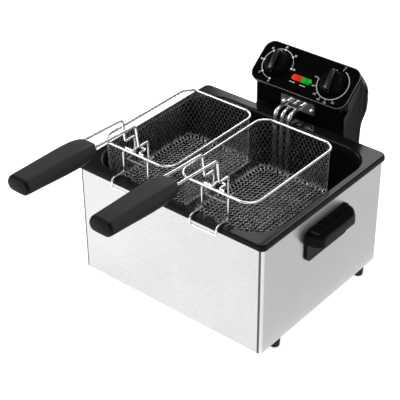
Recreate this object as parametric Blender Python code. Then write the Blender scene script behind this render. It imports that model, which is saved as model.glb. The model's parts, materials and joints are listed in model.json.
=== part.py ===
"""A twin-basket electric deep fryer: steel casing, lift-out oil pot, lift-off control head, two baskets."""
import math

import bmesh
import bpy
from mathutils import Matrix, Vector

# All sizes are in metres. X runs to the right, Y to the rear and Z up. Until the last step the zero is
# the middle of the casing's front face at its bottom edge, and the top empty then moves it.

GAP = 0.0003                      # clearance between pieces that touch

# Casing and feet
CASE_WIDTH = 0.2900
CASE_DEPTH = 0.2548
CASE_TOP = 0.1609
CASE_WALL = 0.0010
CASE_CORNER = 0.0050
BASE_THICKNESS = 0.0015
BASE_Z = 0.0020
FOOT_HEIGHT = 0.0150
FOOT_X = 0.1365
FOOT_FRONT_Y = 0.0410
FOOT_REAR_Y = 0.2270
FOOT_RADIUS = 0.0075

# Oil pot
RIM_TOP = 0.1627
RIM_BOTTOM = 0.1549
RIM_OVERHANG = 0.0024
RIM_OVERHANG_REAR = 0.0036
RIM_CORNER = 0.0070
SHEET = 0.0012
MOUTH_HALF_X = 0.1380
MOUTH_FRONT_Y = 0.0090
MOUTH_REAR_Y = 0.2430
MOUTH_CORNER = 0.0415
POT_FLOOR = 0.0400

# Baskets: each is built about its own middle and set left or right
BASKET_X = {"basket_left": -0.0662, "basket_right": 0.0588}
BASKET_HALF_X = 0.0565
BASKET_FRONT_Y = 0.0180
BASKET_REAR_Y = 0.1882
BASKET_CORNER = 0.0180
BASKET_TOP = 0.1951
BASKET_FLOOR = 0.1226
BASKET_TAPER = 0.0006
TUB_WALL = 0.0014
RIM_WIRE = 0.0015
HOOK_WIRE = 0.0014
HOOK_X = (-0.0165, 0.0234)
HOOK_REST = RIM_TOP + HOOK_WIRE + GAP
HOOK_OUT_Y = -0.0064
HOOK_LOW_Z = 0.1524

# Folding handles: twin wires that end in a black grip
HANDLE_HALF_GAP = 0.0109
HANDLE_WIRE = 0.0017
PIVOT_Y = 0.0320
PIVOT_Z = 0.1840
CRANK_Z = 0.2105
LEG_LOW_Y = 0.0150
LEG_TOP_Y = 0.0107
ARM_Z = 0.2426
ARM_RISE = math.radians(2.1)
ARM_DRIFT = 0.0130                 # how far the arms drift to the left, per metre of their way out
GRIP_INNER_Y = -0.0530
GRIP_OUTER_Y = -0.1700
GRIP_TOP_HALF = 0.0115
GRIP_HALF_WIDTH = 0.0162

# Control head
HEAD_HALF_X = 0.0762
COLUMN_HALF_X = 0.0720
HEAD_WALL = 0.0025
HEAD_SPLIT_Y = 0.3000
COLUMN_FRONT_Y = 0.2680
COLUMN_FOOT_Y = 0.2587
HEAD_BOTTOM = 0.0600
PANEL_Y = 0.2816
PANEL_Z = 0.2173
PANEL_TILT = math.radians(38.7)   # slope of the panel above the horizontal
PANEL_HALF_HEIGHT = 0.0304
PANEL_CORNER = 0.0143
PANEL_THICKNESS = 0.0040
DIAL_X = 0.0446
KNOB_RADIUS = 0.0178
KNOB_ANGLE = math.radians(7)
SHAFT_RADIUS = 0.0030
WINDOW_Y = -0.0088
WINDOW_HALF_X = 0.0160
WINDOW_HALF_Y = 0.0045

# Heating element
TUBE_RADIUS = 0.0029
ELEMENT_Z = 0.0620
ELEMENT_OUT_X = 0.1080
ELEMENT_IN_X = 0.0400
ELEMENT_FRONT_Y = 0.0350
ELEMENT_REAR_Y = 0.2200
RISER_Y = 0.2345
TUBE_EXIT_Z = 0.1790

# Carry handles
CARRY_FRONT_Y = 0.0860
CARRY_REAR_Y = 0.1745
CARRY_BOTTOM = 0.0895
CARRY_TOP = 0.1350
CARRY_REACH = 0.0205
CARRY_LIP = 0.1148

COLOURS = {
    "brushed_steel": ((0.78, 0.78, 0.78), 0.32, 1.0),
    "bright_steel": ((0.86, 0.86, 0.86), 0.18, 1.0),
    "black_enamel": ((0.012, 0.012, 0.013), 0.16, 0.0),
    "gloss_black": ((0.010, 0.010, 0.011), 0.22, 0.0),
    "matte_black": ((0.030, 0.030, 0.032), 0.55, 0.0),
    "rubber": ((0.018, 0.018, 0.018), 0.80, 0.0),
    "red_lens": ((0.80, 0.06, 0.02), 0.20, 0.0),
    "green_lens": ((0.03, 0.50, 0.05), 0.20, 0.0),
    "brass": ((0.78, 0.57, 0.25), 0.30, 1.0),
    "beige_plastic": ((0.62, 0.58, 0.48), 0.50, 0.0),
    "lamp_glass": ((0.90, 0.60, 0.40), 0.10, 0.0),
}


def clear_scene():
    for item in list(bpy.data.objects):
        bpy.data.objects.remove(item, do_unlink=True)


def material(kind):
    """The shared material of this kind."""
    found = bpy.data.materials.get(kind)
    if found:
        return found
    colour, roughness, metallic = COLOURS[kind]
    made = bpy.data.materials.new(kind)
    made.use_nodes = True
    shader = made.node_tree.nodes["Principled BSDF"]
    shader.inputs["Base Color"].default_value = (*colour, 1.0)
    shader.inputs["Roughness"].default_value = roughness
    shader.inputs["Metallic"].default_value = metallic
    return made


def empty(name, parent=None, place=(0.0, 0.0, 0.0), turn=(0.0, 0.0, 0.0)):
    made = bpy.data.objects.new(name, None)
    bpy.context.scene.collection.objects.link(made)
    made.parent = parent
    made.location = place
    made.rotation_euler = turn
    return made


def add_object(name, data, parent, kind):
    made = bpy.data.objects.new(name, data)
    bpy.context.scene.collection.objects.link(made)
    made.parent = parent
    data.materials.append(material(kind))
    return made


def add_mesh(name, shape, parent, kind):
    """Makes the bmesh into an object with its faces turned outwards, smooth except at its edges."""
    bmesh.ops.recalc_face_normals(shape, faces=shape.faces[:])
    mesh = bpy.data.meshes.new(name)
    shape.to_mesh(mesh)
    shape.free()
    mesh.shade_smooth()
    mesh.set_sharp_from_angle(angle=math.radians(35))
    return add_object(name, mesh, parent, kind)


def cut(target, shape):
    """Cuts the bmesh away from the target, as a Boolean modifier with a hidden cutter."""
    cutter = add_mesh(target.name + "_cutter", shape, target.parent, "matte_black")
    cutter.hide_render = True
    cutter.display_type = "WIRE"
    modifier = target.modifiers.new("cut", "BOOLEAN")
    modifier.operation = "DIFFERENCE"
    modifier.solver = "EXACT"
    modifier.object = cutter


def arc(centre, radius, start, end, steps):
    """Points on an arc in a plane, both ends included; angles in radians."""
    angles = [start + (end - start) * i / steps for i in range(steps + 1)]
    return [(centre[0] + radius * math.cos(a), centre[1] + radius * math.sin(a)) for a in angles]


def rounded_rectangle(low, high, corner, steps=5):
    """Outline of a rounded rectangle, counter-clockwise from the right-hand front corner."""
    (x0, y0), (x1, y1) = low, high
    centres = [(x1 - corner, y0 + corner), (x1 - corner, y1 - corner),
               (x0 + corner, y1 - corner), (x0 + corner, y0 + corner)]
    outline = []
    for quarter, centre in enumerate(centres):
        start = (quarter - 1) * math.pi / 2
        outline += arc(centre, corner, start, start + math.pi / 2, steps)
    return outline


def filleted(corners, steps=4, closed=True):
    """A path through the corners, each given as (*point, radius), with its bends made round."""
    points = [Vector(c[:-1]) for c in corners]
    path = []
    for i, point in enumerate(points):
        radius = corners[i][-1]
        if not radius or (not closed and i in (0, len(points) - 1)):
            path.append(point)
            continue
        before = (points[i - 1] - point).normalized()
        after = (points[(i + 1) % len(points)] - point).normalized()
        half = before.angle(after) / 2
        middle = point + (before + after).normalized() * (radius / math.sin(half))
        first = (point + before * (radius / math.tan(half)) - middle).normalized()
        last = point + after * (radius / math.tan(half)) - middle
        across = (last - first * last.dot(first)).normalized()
        sweep = first.angle(last)
        for step in range(steps + 1):
            angle = sweep * step / steps
            path.append(middle + (first * math.cos(angle) + across * math.sin(angle)) * radius)
    return path


def loft(rings):
    """A closed solid through rings of equal length, with a flat face on the first and on the last."""
    shape = bmesh.new()
    loops = [[shape.verts.new(point) for point in ring] for ring in rings]
    count = len(loops[0])
    for lower, upper in zip(loops, loops[1:]):
        for i in range(count):
            j = (i + 1) % count
            shape.faces.new((lower[i], lower[j], upper[j], upper[i]))
    shape.faces.new(list(reversed(loops[0])))
    shape.faces.new(loops[-1])
    return shape


def prism(outline, bottom, top):
    """The outline, extruded along Z."""
    return loft([[(x, y, z) for x, y in outline] for z in (bottom, top)])


def box(low, high):
    outline = [(low[0], low[1]), (high[0], low[1]), (high[0], high[1]), (low[0], high[1])]
    return prism(outline, low[2], high[2])


def turned_solid(profile, sides=24, place=Matrix.Identity(4)):
    """The (radius, height) profile turned about Z; both of its ends become flat faces."""
    rings = []
    for radius, height in profile:
        ring = [(radius * math.cos(a), radius * math.sin(a), height)
                for a in (2 * math.pi * i / sides for i in range(sides))]
        rings.append([place @ Vector(point) for point in ring])
    return loft(rings)


def cylinder(radius, start, end, sides=16):
    """A cylinder between two points."""
    start, end = Vector(start), Vector(end)
    axis = end - start
    place = Matrix.Translation(start) @ axis.to_track_quat("Z", "Y").to_matrix().to_4x4()
    return turned_solid([(radius, 0.0), (radius, axis.length)], sides, place)


def wire(name, points, radius, parent, kind, closed=False, resolution=2):
    """A round wire or tube along the points."""
    curve = bpy.data.curves.new(name, "CURVE")
    curve.dimensions = "3D"
    curve.bevel_depth = radius
    curve.bevel_resolution = resolution
    curve.use_fill_caps = not closed
    line = curve.splines.new("POLY")
    line.points.add(len(points) - 1)
    for knot, point in zip(line.points, points):
        knot.co = (*point, 1.0)
    line.use_cyclic_u = closed
    return add_object(name, curve, parent, kind)


def inset_corners(corners, distances):
    """The (y, z, radius) corners, counter-clockwise, with each corner's two edges moved inwards."""
    moved_in = []
    for i, (y, z, radius) in enumerate(corners):
        point = Vector((y, z))
        before = (point - Vector(corners[i - 1][:2])).normalized()
        after = (Vector(corners[(i + 1) % len(corners)][:2]) - point).normalized()
        tangent = (before + after).normalized()
        place = point + Vector((-tangent.y, tangent.x)) * distances[i] / tangent.dot(before)
        convex = before.x * after.y - before.y * after.x > 0
        bend = radius - distances[i] if convex else radius + distances[i]
        moved_in.append((place.x, place.y, max(bend, 0.0004)))
    return moved_in


def rounded_prism(corners, edges, halves):
    """The filleted (y, z) corners extruded along X, each with its own edge radius and half width."""
    rings = []
    steps = 4
    for side in (-1, 1):
        for step in range(steps + 1):
            angle = math.pi / 2 * (step / steps if side < 0 else 1 - step / steps)
            depths = [edge * (1 - math.sin(angle)) for edge in edges]
            path = filleted(inset_corners(corners, depths), 6)
            ring = []
            for i, point in enumerate(path):
                edge = edges[i // 7]
                ring.append((side * (halves[i // 7] - edge + edge * math.cos(angle)), point.x, point.y))
            rings.append(ring)
    shape = loft(rings)
    bmesh.ops.triangulate(shape, faces=shape.faces)
    return shape


# ---------------------------------------------------------------- casing

def make_casing(parent):
    half = CASE_WIDTH / 2
    outer = rounded_rectangle((-half, 0.0), (half, CASE_DEPTH), CASE_CORNER)
    wall = CASE_WALL
    inner = rounded_rectangle((-half + wall, wall), (half - wall, CASE_DEPTH - wall), CASE_CORNER - wall)
    lip = BASE_Z - GAP
    shelf = 0.008
    turned_in = rounded_rectangle((-half + shelf, shelf), (half - shelf, CASE_DEPTH - shelf), CASE_CORNER)
    rings = [
        [(x, y, 0.0) for x, y in turned_in],
        [(x, y, 0.0) for x, y in outer],
        [(x, y, CASE_TOP) for x, y in outer],
        [(x, y, CASE_TOP) for x, y in inner],
        [(x, y, lip) for x, y in inner],
        [(x, y, lip) for x, y in turned_in],
    ]
    shell = add_mesh("casing_shell", ring_solid(rings), parent, "brushed_steel")
    for side in (-1, 1):
        for y in screw_places():
            hole = cylinder(0.0023, (side * (half - 0.004), y, SCREW_Z), (side * (half + 0.004), y, SCREW_Z), 8)
            cut(shell, hole)
    make_base(parent, inner)
    for name, side, y in (("front_left", -1, FOOT_FRONT_Y), ("front_right", 1, FOOT_FRONT_Y),
                          ("rear_left", -1, FOOT_REAR_Y), ("rear_right", 1, FOOT_REAR_Y)):
        make_foot("foot_" + name, parent, side * FOOT_X, y)
    for name, side in (("left", -1), ("right", 1)):
        make_carry_handle(name, side, parent)
    make_head_rail(parent)


def ring_solid(rings):
    """A closed solid whose section is the closed chain of rings, such as an open-ended shell."""
    shape = bmesh.new()
    loops = [[shape.verts.new(point) for point in ring] for ring in rings]
    count = len(loops[0])
    for k, lower in enumerate(loops):
        upper = loops[(k + 1) % len(loops)]
        for i in range(count):
            j = (i + 1) % count
            shape.faces.new((lower[i], lower[j], upper[j], upper[i]))
    return shape


def make_base(parent, inner):
    middle = Vector((0.0, CASE_DEPTH / 2))
    shrink = 1 - 2 * GAP / CASE_DEPTH
    outline = [middle + (Vector(point) - middle) * shrink for point in inner]
    base = add_mesh("base_plate", prism(outline, BASE_Z, BASE_Z + BASE_THICKNESS), parent, "brushed_steel")
    for side in (-1, 1):
        for y in (FOOT_FRONT_Y, FOOT_REAR_Y):
            x = side * (FOOT_X - 0.004)
            cut(base, cylinder(0.0033, (x, y, BASE_Z - 0.002), (x, y, BASE_Z + 0.004), 12))


def make_foot(name, parent, x, y):
    """A rubber foot with a stem that snaps through the base plate."""
    stem = x - math.copysign(0.004, x)
    pad = [(FOOT_RADIUS - 0.0015, -FOOT_HEIGHT), (FOOT_RADIUS - 0.0008, -FOOT_HEIGHT + 0.0008),
           (FOOT_RADIUS, -GAP)]
    foot = add_mesh(name, turned_solid(pad, 20, Matrix.Translation((x, y, 0.0))), parent, "rubber")
    rise = BASE_Z + BASE_THICKNESS
    neck = [(0.0030, -0.002), (0.0030, rise + GAP), (0.0042, rise + GAP), (0.0030, rise + 0.004)]
    plug = add_mesh(name + "_stem", turned_solid(neck, 12, Matrix.Translation((stem, y, 0.0))), parent, "rubber")
    plug.hide_render = True
    plug.display_type = "WIRE"
    join = foot.modifiers.new("stem", "BOOLEAN")
    join.operation = "UNION"
    join.solver = "EXACT"
    join.object = plug


SCREW_Z = 0.1015


def screw_places():
    return (CARRY_FRONT_Y + 0.016, CARRY_REAR_Y - 0.016)


def make_carry_handle(name, side, parent):
    """A moulded handle: a plate on the casing with a hood that the fingers reach under."""
    wall = CASE_WIDTH / 2 + GAP
    plate_out = wall + 0.0030
    reach = CASE_WIDTH / 2 + CARRY_REACH
    outline = rounded_rectangle((CARRY_FRONT_Y, CARRY_BOTTOM), (CARRY_REAR_Y, CARRY_TOP), 0.0085, 4)
    plate = loft([[(side * x, y, z) for y, z in outline] for x in (wall, plate_out)])
    handle = add_mesh("carry_handle_" + name, plate, parent, "matte_black")
    hood = hood_shape(side, wall + 0.001, reach, 0.0)
    add_joined(handle, hood)
    cut(handle, hood_shape(side, plate_out, reach - 0.0034, 0.0034))
    for y in screw_places():
        cut(handle, cylinder(0.0017, (side * (wall - 0.001), y, SCREW_Z), (side * (wall + 0.0024), y, SCREW_Z), 8))
        make_handle_screw("%s_%s" % (name, "front" if y < 0.12 else "rear"), side, y, parent)
    inside = CASE_WIDTH / 2 - CASE_WALL - GAP
    strip = rounded_rectangle((CARRY_FRONT_Y + 0.006, SCREW_Z - 0.008), (CARRY_REAR_Y - 0.006, SCREW_Z + 0.008),
                              0.004, 3)
    backing = loft([[(side * x, y, z) for y, z in strip] for x in (inside - 0.0012, inside)])
    bar = add_mesh("handle_backing_" + name, backing, parent, "brushed_steel")
    for y in screw_places():
        cut(bar, cylinder(0.0023, (side * (inside - 0.003), y, SCREW_Z), (side * (inside + 0.003), y, SCREW_Z), 8))


def hood_shape(side, start, reach, shrink):
    """The hood's outer shape, or with shrink its hollow, which is open below."""
    top = CARRY_TOP - 0.0008
    low = CARRY_LIP - (0.010 if shrink else 0.0)
    rings = []
    for x, drop, end in ((start, 0.0, 0.0015), (reach - 0.0100, 0.0004, 0.0026), (reach - 0.0060, 0.0014, 0.0046),
                         (reach - 0.0030, 0.0030, 0.0070), (reach - 0.0010, 0.0052, 0.0098), (reach, 0.0080, 0.0128)):
        front, rear = CARRY_FRONT_Y + end + shrink, CARRY_REAR_Y - end - shrink
        upper = top - drop - shrink
        outline = [(front, low), (rear, low), (rear, upper - 0.0075), (rear - 0.0022, upper - 0.0022),
                   (rear - 0.0075, upper), (front + 0.0075, upper), (front + 0.0022, upper - 0.0022),
                   (front, upper - 0.0075)]
        rings.append([(side * x, y, z) for y, z in outline])
    return loft(rings)


def add_joined(target, shape):
    """Joins the bmesh to the target with a Boolean union."""
    other = add_mesh(target.name + "_joined", shape, target.parent, "matte_black")
    other.hide_render = True
    other.display_type = "WIRE"
    modifier = target.modifiers.new("join", "BOOLEAN")
    modifier.operation = "UNION"
    modifier.solver = "EXACT"
    modifier.object = other


def make_handle_screw(name, side, y, parent):
    inside = CASE_WIDTH / 2 - CASE_WALL - 2 * GAP - 0.0012
    place = Matrix.Translation((side * inside, y, SCREW_Z)) @ Matrix.Rotation(side * math.pi / 2, 4, "Y")
    profile = [(0.0022, -0.0022), (0.0034, -0.0012), (0.0034, 0.0), (0.0014, 0.0), (0.0014, 0.0052)]
    add_mesh("handle_screw_" + name, turned_solid(profile, 10, place), parent, "bright_steel")


def make_head_rail(parent):
    """A steel channel on the casing's back that the control head slides down over."""
    back = CASE_DEPTH + GAP
    deep = COLUMN_FOOT_Y - GAP
    outline = [(-0.050, back), (0.050, back), (0.050, deep), (0.0488, deep), (0.0488, back + 0.0012),
               (-0.0488, back + 0.0012), (-0.0488, deep), (-0.050, deep)]
    add_mesh("head_rail", prism(outline, 0.030, 0.150), parent, "bright_steel")


# ---------------------------------------------------------------- oil pot

def pot_ring(half_x, front, rear, corner, z):
    return [(x, y, z) for x, y in rounded_rectangle((-half_x, front), (half_x, rear), corner, 6)]


def make_pot(parent):
    """Enamelled pot: outer skin from the floor to the skirt, then over the rim and down the inside."""
    half = CASE_WIDTH / 2 + RIM_OVERHANG
    front, rear = -RIM_OVERHANG, CASE_DEPTH + RIM_OVERHANG_REAR
    mouth = (MOUTH_HALF_X, MOUTH_FRONT_Y, MOUTH_REAR_Y, MOUTH_CORNER)

    def rim(inward, z, corner=RIM_CORNER):
        return pot_ring(half - inward, front + inward, rear - inward, corner, z)

    def well(inward, z):
        half_x, y0, y1, corner = mouth
        return pot_ring(half_x - inward, y0 + inward, y1 - inward, corner - inward * 0.6, z)

    floor = POT_FLOOR
    rings = [
        well(0.0150, floor - SHEET),
        well(0.0075, floor + 0.0010),
        well(0.0036, floor + 0.0080),
        well(0.0018, RIM_TOP - 0.0060),
        well(0.0000, RIM_TOP - SHEET - GAP),
        rim(SHEET, RIM_TOP - SHEET - GAP, RIM_CORNER - SHEET),
        rim(SHEET, RIM_BOTTOM, RIM_CORNER - SHEET),
        rim(0.0, RIM_BOTTOM),
        rim(0.0, RIM_BOTTOM + 0.0036),
        rim(0.0005, RIM_BOTTOM + 0.0042),
        rim(0.0005, RIM_TOP - 0.0012),
        rim(0.0016, RIM_TOP),
        rim(0.0030, RIM_TOP),
        well(-0.0010, RIM_TOP),
        well(0.0014, RIM_TOP - 0.0014),
        well(0.0030, RIM_TOP - 0.0050),
        well(0.0033, RIM_TOP - 0.0120),
        well(0.0050, floor + 0.0085),
        well(0.0087, floor + 0.0022),
        well(0.0150, floor),
    ]
    add_mesh("oil_pot", loft(rings), parent, "black_enamel")


# ---------------------------------------------------------------- control head

def head_corners():
    """The head's side outline as (y, z, radius) corners, counter-clockwise, with the end edges' radii."""
    slope = Vector((math.cos(PANEL_TILT), math.sin(PANEL_TILT)))
    normal = Vector((-slope.y, slope.x))
    seat = Vector((PANEL_Y, PANEL_Z)) - normal * (PANEL_THICKNESS + GAP)
    lower = seat - slope * (PANEL_HALF_HEIGHT - 0.0006)
    upper = seat + slope * (PANEL_HALF_HEIGHT + 0.0002)
    corners = [
        (COLUMN_FOOT_Y, HEAD_BOTTOM, 0.003),
        (0.3142, HEAD_BOTTOM, 0.006),
        (0.3152, 0.1430, 0.080),
        (0.3272, 0.1800, 0.050),
        (0.3272, 0.2010, 0.032),
        (upper.x, upper.y, 0.0035),
        (lower.x, lower.y, 0.0012),
        (COLUMN_FRONT_Y, 0.1890, 0.003),
        (COLUMN_FRONT_Y, 0.1560, 0.004),
        (COLUMN_FOOT_Y, 0.1460, 0.004),
    ]
    edges = [0.0070, 0.0045, 0.0045, 0.0060, 0.0105, 0.0006, 0.0006, 0.0070, 0.0070, 0.0070]
    narrow, wide = COLUMN_HALF_X, HEAD_HALF_X
    halves = [narrow, narrow, narrow, 0.0750, wide, wide, wide, narrow, narrow, narrow]
    return corners, edges, halves


def panel_corner_cutter():
    """What lies outside the panel's four round corners, down to the column at the front ones."""
    radius = PANEL_CORNER
    shape = bmesh.new()
    matrix = panel_matrix()
    for side_x in (-1, 1):
        for side_y, depth in ((-1, -0.0165), (1, -0.0800)):
            x, y = HEAD_HALF_X - radius, PANEL_HALF_HEIGHT - radius
            outline = arc((x, y), radius, 0.0, math.pi / 2, 6)
            outline += [(x - 0.0005, y + radius), (x - 0.0005, y + radius + 0.004),
                        (x + radius + 0.004, y + radius + 0.004), (x + radius + 0.004, y - 0.0005),
                        (x + radius, y - 0.0005)]
            outline = [(side_x * u, side_y * v) for u, v in outline]
            if side_x * side_y > 0:
                outline.reverse()
            rings = [[matrix @ Vector((u, v, z)) for u, v in outline] for z in (depth, 0.004)]
            loops = [[shape.verts.new(point) for point in ring] for ring in rings]
            for i in range(len(outline)):
                j = (i + 1) % len(outline)
                shape.faces.new((loops[0][i], loops[0][j], loops[1][j], loops[1][i]))
            shape.faces.new(list(reversed(loops[0])))
            shape.faces.new(loops[1])
    return shape


def make_head(parent):
    corners, edges, halves = head_corners()
    panel_frame = empty("panel_plane", parent, (0.0, PANEL_Y, PANEL_Z), (PANEL_TILT, 0.0, 0.0))
    housing = add_mesh("head_housing", rounded_prism(corners, edges, halves), parent, "gloss_black")
    cover = add_mesh("head_back_cover", rounded_prism(corners, edges, halves), parent, "gloss_black")
    hollow = inset_corners(corners, [HEAD_WALL] * len(corners))
    hollow_edges = [max(edge - HEAD_WALL, 0.0010) for edge in edges]
    far = 0.2
    for piece, low_y, high_y in ((housing, HEAD_SPLIT_Y, far * 2), (cover, 0.0, HEAD_SPLIT_Y + GAP)):
        cut(piece, panel_corner_cutter())
        cut(piece, rounded_prism(hollow, hollow_edges, [half - HEAD_WALL for half in halves]))
        cut(piece, box((-far, low_y, 0.0), (far, high_y, far * 2)))
    for side in (-1, 1):
        cut(housing, on_panel([(0.0050, -0.012), (0.0050, 0.002)], side * DIAL_X, 0.0, 12))
    window = rounded_rectangle((-WINDOW_HALF_X - 0.001, WINDOW_Y - WINDOW_HALF_Y - 0.001),
                               (WINDOW_HALF_X + 0.001, WINDOW_Y + WINDOW_HALF_Y + 0.001), 0.004, 3)
    cut(housing, moved(prism(window, -0.012, 0.002), panel_matrix()))
    for x in TUBE_X.values():
        cut(housing, cylinder(TUBE_RADIUS + 0.0008, (x, COLUMN_FRONT_Y - 0.004, TUBE_EXIT_Z),
                              (x, COLUMN_FRONT_Y + 0.006, TUBE_EXIT_Z), 12))
    make_panel(panel_frame)
    make_bracket(parent)
    make_inlet(cover, parent)
    make_cutout(cover, parent)
    add_mesh("terminal_block", box((-0.030, 0.2740, 0.1500), (0.020, 0.2860, 0.1640)), parent, "beige_plastic")
    add_mesh("interlock_switch", box((0.0300, 0.2620, 0.1100), (0.0520, 0.2720, 0.1300)), parent, "matte_black")


def panel_matrix():
    return Matrix.Translation((0.0, PANEL_Y, PANEL_Z)) @ Matrix.Rotation(PANEL_TILT, 4, "X")


def moved(shape, matrix):
    bmesh.ops.transform(shape, matrix=matrix, verts=shape.verts[:])
    return shape


def on_panel(profile, x, y, sides):
    """A turned solid that stands on the panel's plane at (x, y), in the head's coordinates."""
    return moved(turned_solid(profile, sides), panel_matrix() @ Matrix.Translation((x, y, 0.0)))


def make_panel(frame):
    """The control panel with its dials' units, lamps and lenses, built on the panel's own plane."""
    half_x = HEAD_HALF_X
    outlines = [(0.0, -PANEL_THICKNESS), (0.0, -0.0012), (0.0009, 0.0)]
    rings = []
    for inward, z in outlines:
        outline = rounded_rectangle((-half_x + inward, -PANEL_HALF_HEIGHT + inward),
                                    (half_x - inward, PANEL_HALF_HEIGHT - inward), PANEL_CORNER - inward, 6)
        rings.append([(x, y, z) for x, y in outline])
    panel = add_mesh("control_panel", loft(rings), frame, "gloss_black")
    for side in (-1, 1):
        cut(panel, moved(turned_solid([(0.0038, -0.01), (0.0038, 0.01)], 16),
                         Matrix.Translation((side * DIAL_X, 0.0, 0.0))))
    window = rounded_rectangle((-WINDOW_HALF_X, WINDOW_Y - WINDOW_HALF_Y),
                               (WINDOW_HALF_X, WINDOW_Y + WINDOW_HALF_Y), WINDOW_HALF_Y - 0.0001, 6)
    cut(panel, prism(window, -0.01, 0.01))
    for name, side in (("red", -1), ("green", 1)):
        make_lens(name, side, frame)
    for name, side in (("timer", -1), ("thermostat", 1)):
        make_unit(name, side, frame)


def make_lens(name, side, frame):
    """Half of the lit pill, with the lamp behind it."""
    radius = WINDOW_HALF_Y - GAP
    end = WINDOW_HALF_X - GAP - radius
    outline = [(side * 0.0002, WINDOW_Y - radius), (side * 0.0002, WINDOW_Y + radius)]
    outline += [(side * x, y) for x, y in arc((end, WINDOW_Y), radius, math.pi / 2, -math.pi / 2, 8)]
    add_mesh("indicator_lens_" + name, prism(outline, -0.0050, 0.0006), frame, name + "_lens")
    lamp = [(0.0022, -0.0180), (0.0030, -0.0170), (0.0030, -0.0075), (0.0015, -0.0062)]
    place = Matrix.Translation((side * 0.0080, WINDOW_Y, 0.0))
    add_mesh("pilot_lamp_" + name, turned_solid(lamp, 12, place), frame, "lamp_glass")


def make_unit(name, side, frame):
    """The timer or the thermostat behind the panel, with the shaft and knob that turn in it."""
    half = 0.0160
    back, front = -0.0270, -0.0085
    outline = rounded_rectangle((side * DIAL_X - half, -half), (side * DIAL_X + half, half), 0.003, 2)
    unit = add_mesh(name + "_unit", prism(outline, back, front), frame, "beige_plastic")
    bore = turned_solid([(SHAFT_RADIUS + GAP, -0.0180), (SHAFT_RADIUS + GAP, 0.0)], 16)
    cut(unit, moved(bore, Matrix.Translation((side * DIAL_X, 0.0, 0.0))))
    dial = empty(name + "_axis", frame, (side * DIAL_X, 0.0, 0.0))
    shaft = [(SHAFT_RADIUS, -0.0177), (SHAFT_RADIUS, 0.0105)]
    add_mesh(name + "_shaft", turned_solid(shaft, 16), dial, "bright_steel")
    make_knob(name + "_knob", dial)


def make_knob(name, dial):
    """A round knob with a raised grip bar across it."""
    radius = KNOB_RADIUS
    body = [(radius - 0.0006, 0.0006), (radius, 0.0012), (radius, 0.0034), (radius - 0.0012, 0.0042),
            (radius - 0.0026, 0.0080), (radius - 0.0040, 0.0090)]
    knob = add_mesh(name, turned_solid(body, 32), dial, "gloss_black")
    bar = rounded_rectangle((-0.0042, -radius + 0.0018), (0.0042, radius - 0.0010), 0.0040, 4)
    narrow = [(x * 0.72, y * 0.90) for x, y in bar]
    rings = [[(x, y, z) for x, y in ring] for ring, z in ((bar, 0.0050), (bar, 0.0105), (narrow, 0.0160))]
    grip = loft(rings)
    bmesh.ops.rotate(grip, matrix=Matrix.Rotation(KNOB_ANGLE, 3, "Z"), verts=grip.verts[:])
    add_joined(knob, grip)
    cut(knob, turned_solid([(SHAFT_RADIUS + GAP, -0.001), (SHAFT_RADIUS + GAP, 0.0110)], 16))


TUBE_X = {"left": -0.0122, "bulb": -0.0014, "right": 0.0098}


def make_bracket(parent):
    """The steel plate on the column that holds the element's tubes, with its screws and its clip."""
    front = COLUMN_FRONT_Y - GAP
    plate = box((-0.0262, front - 0.0014, 0.1700), (0.0278, front, 0.1855))
    bracket = add_mesh("element_bracket", plate, parent, "bright_steel")
    for x in TUBE_X.values():
        cut(bracket, cylinder(TUBE_RADIUS + GAP, (x, front - 0.004, TUBE_EXIT_Z), (x, front + 0.004, TUBE_EXIT_Z), 16))
    for name, x in (("left", -0.0212), ("right", 0.0232)):
        place = Matrix.Translation((x, front - 0.0014 - GAP, 0.1750)) @ Matrix.Rotation(math.pi / 2, 4, "X")
        head = [(0.0032, 0.0), (0.0032, 0.0010), (0.0020, 0.0020)]
        add_mesh("bracket_screw_" + name, turned_solid(head, 14, place), parent, "bright_steel")
    inside = COLUMN_FRONT_Y + HEAD_WALL + 0.0025
    z = ELEMENT_Z
    out, near = ELEMENT_OUT_X, ELEMENT_IN_X
    left, right = TUBE_X["left"], TUBE_X["right"]
    route = [
        (left, inside, TUBE_EXIT_Z, 0), (left, RISER_Y, TUBE_EXIT_Z, 0.011), (left, RISER_Y, z, 0.008),
        (left, ELEMENT_REAR_Y, z, 0.0075), (-out, ELEMENT_REAR_Y, z, 0.016), (-out, ELEMENT_FRONT_Y, z, 0.016),
        (-near, ELEMENT_FRONT_Y, z, 0.016), (-near, 0.1850, z, 0.016), (near, 0.1850, z, 0.016),
        (near, ELEMENT_FRONT_Y, z, 0.016), (out, ELEMENT_FRONT_Y, z, 0.016), (out, ELEMENT_REAR_Y, z, 0.016),
        (right, ELEMENT_REAR_Y, z, 0.0075), (right, RISER_Y, z, 0.008),
        (right, RISER_Y, TUBE_EXIT_Z, 0.011), (right, inside, TUBE_EXIT_Z, 0),
    ]
    wire("heating_element", filleted(route, 4, closed=False), TUBE_RADIUS, parent, "bright_steel")
    x = TUBE_X["bulb"]
    bulb = [(x, inside, TUBE_EXIT_Z, 0), (x, RISER_Y, TUBE_EXIT_Z, 0.011), (x, RISER_Y, 0.0800, 0)]
    wire("thermostat_bulb", filleted(bulb, 4, closed=False), 0.0024, parent, "bright_steel")
    low = TUBE_EXIT_Z + TUBE_RADIUS + GAP
    clip = box((-0.0040, 0.2480, low), (0.0125, 0.2560, low + 0.0012))
    add_mesh("element_clip", clip, parent, "bright_steel")


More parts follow.
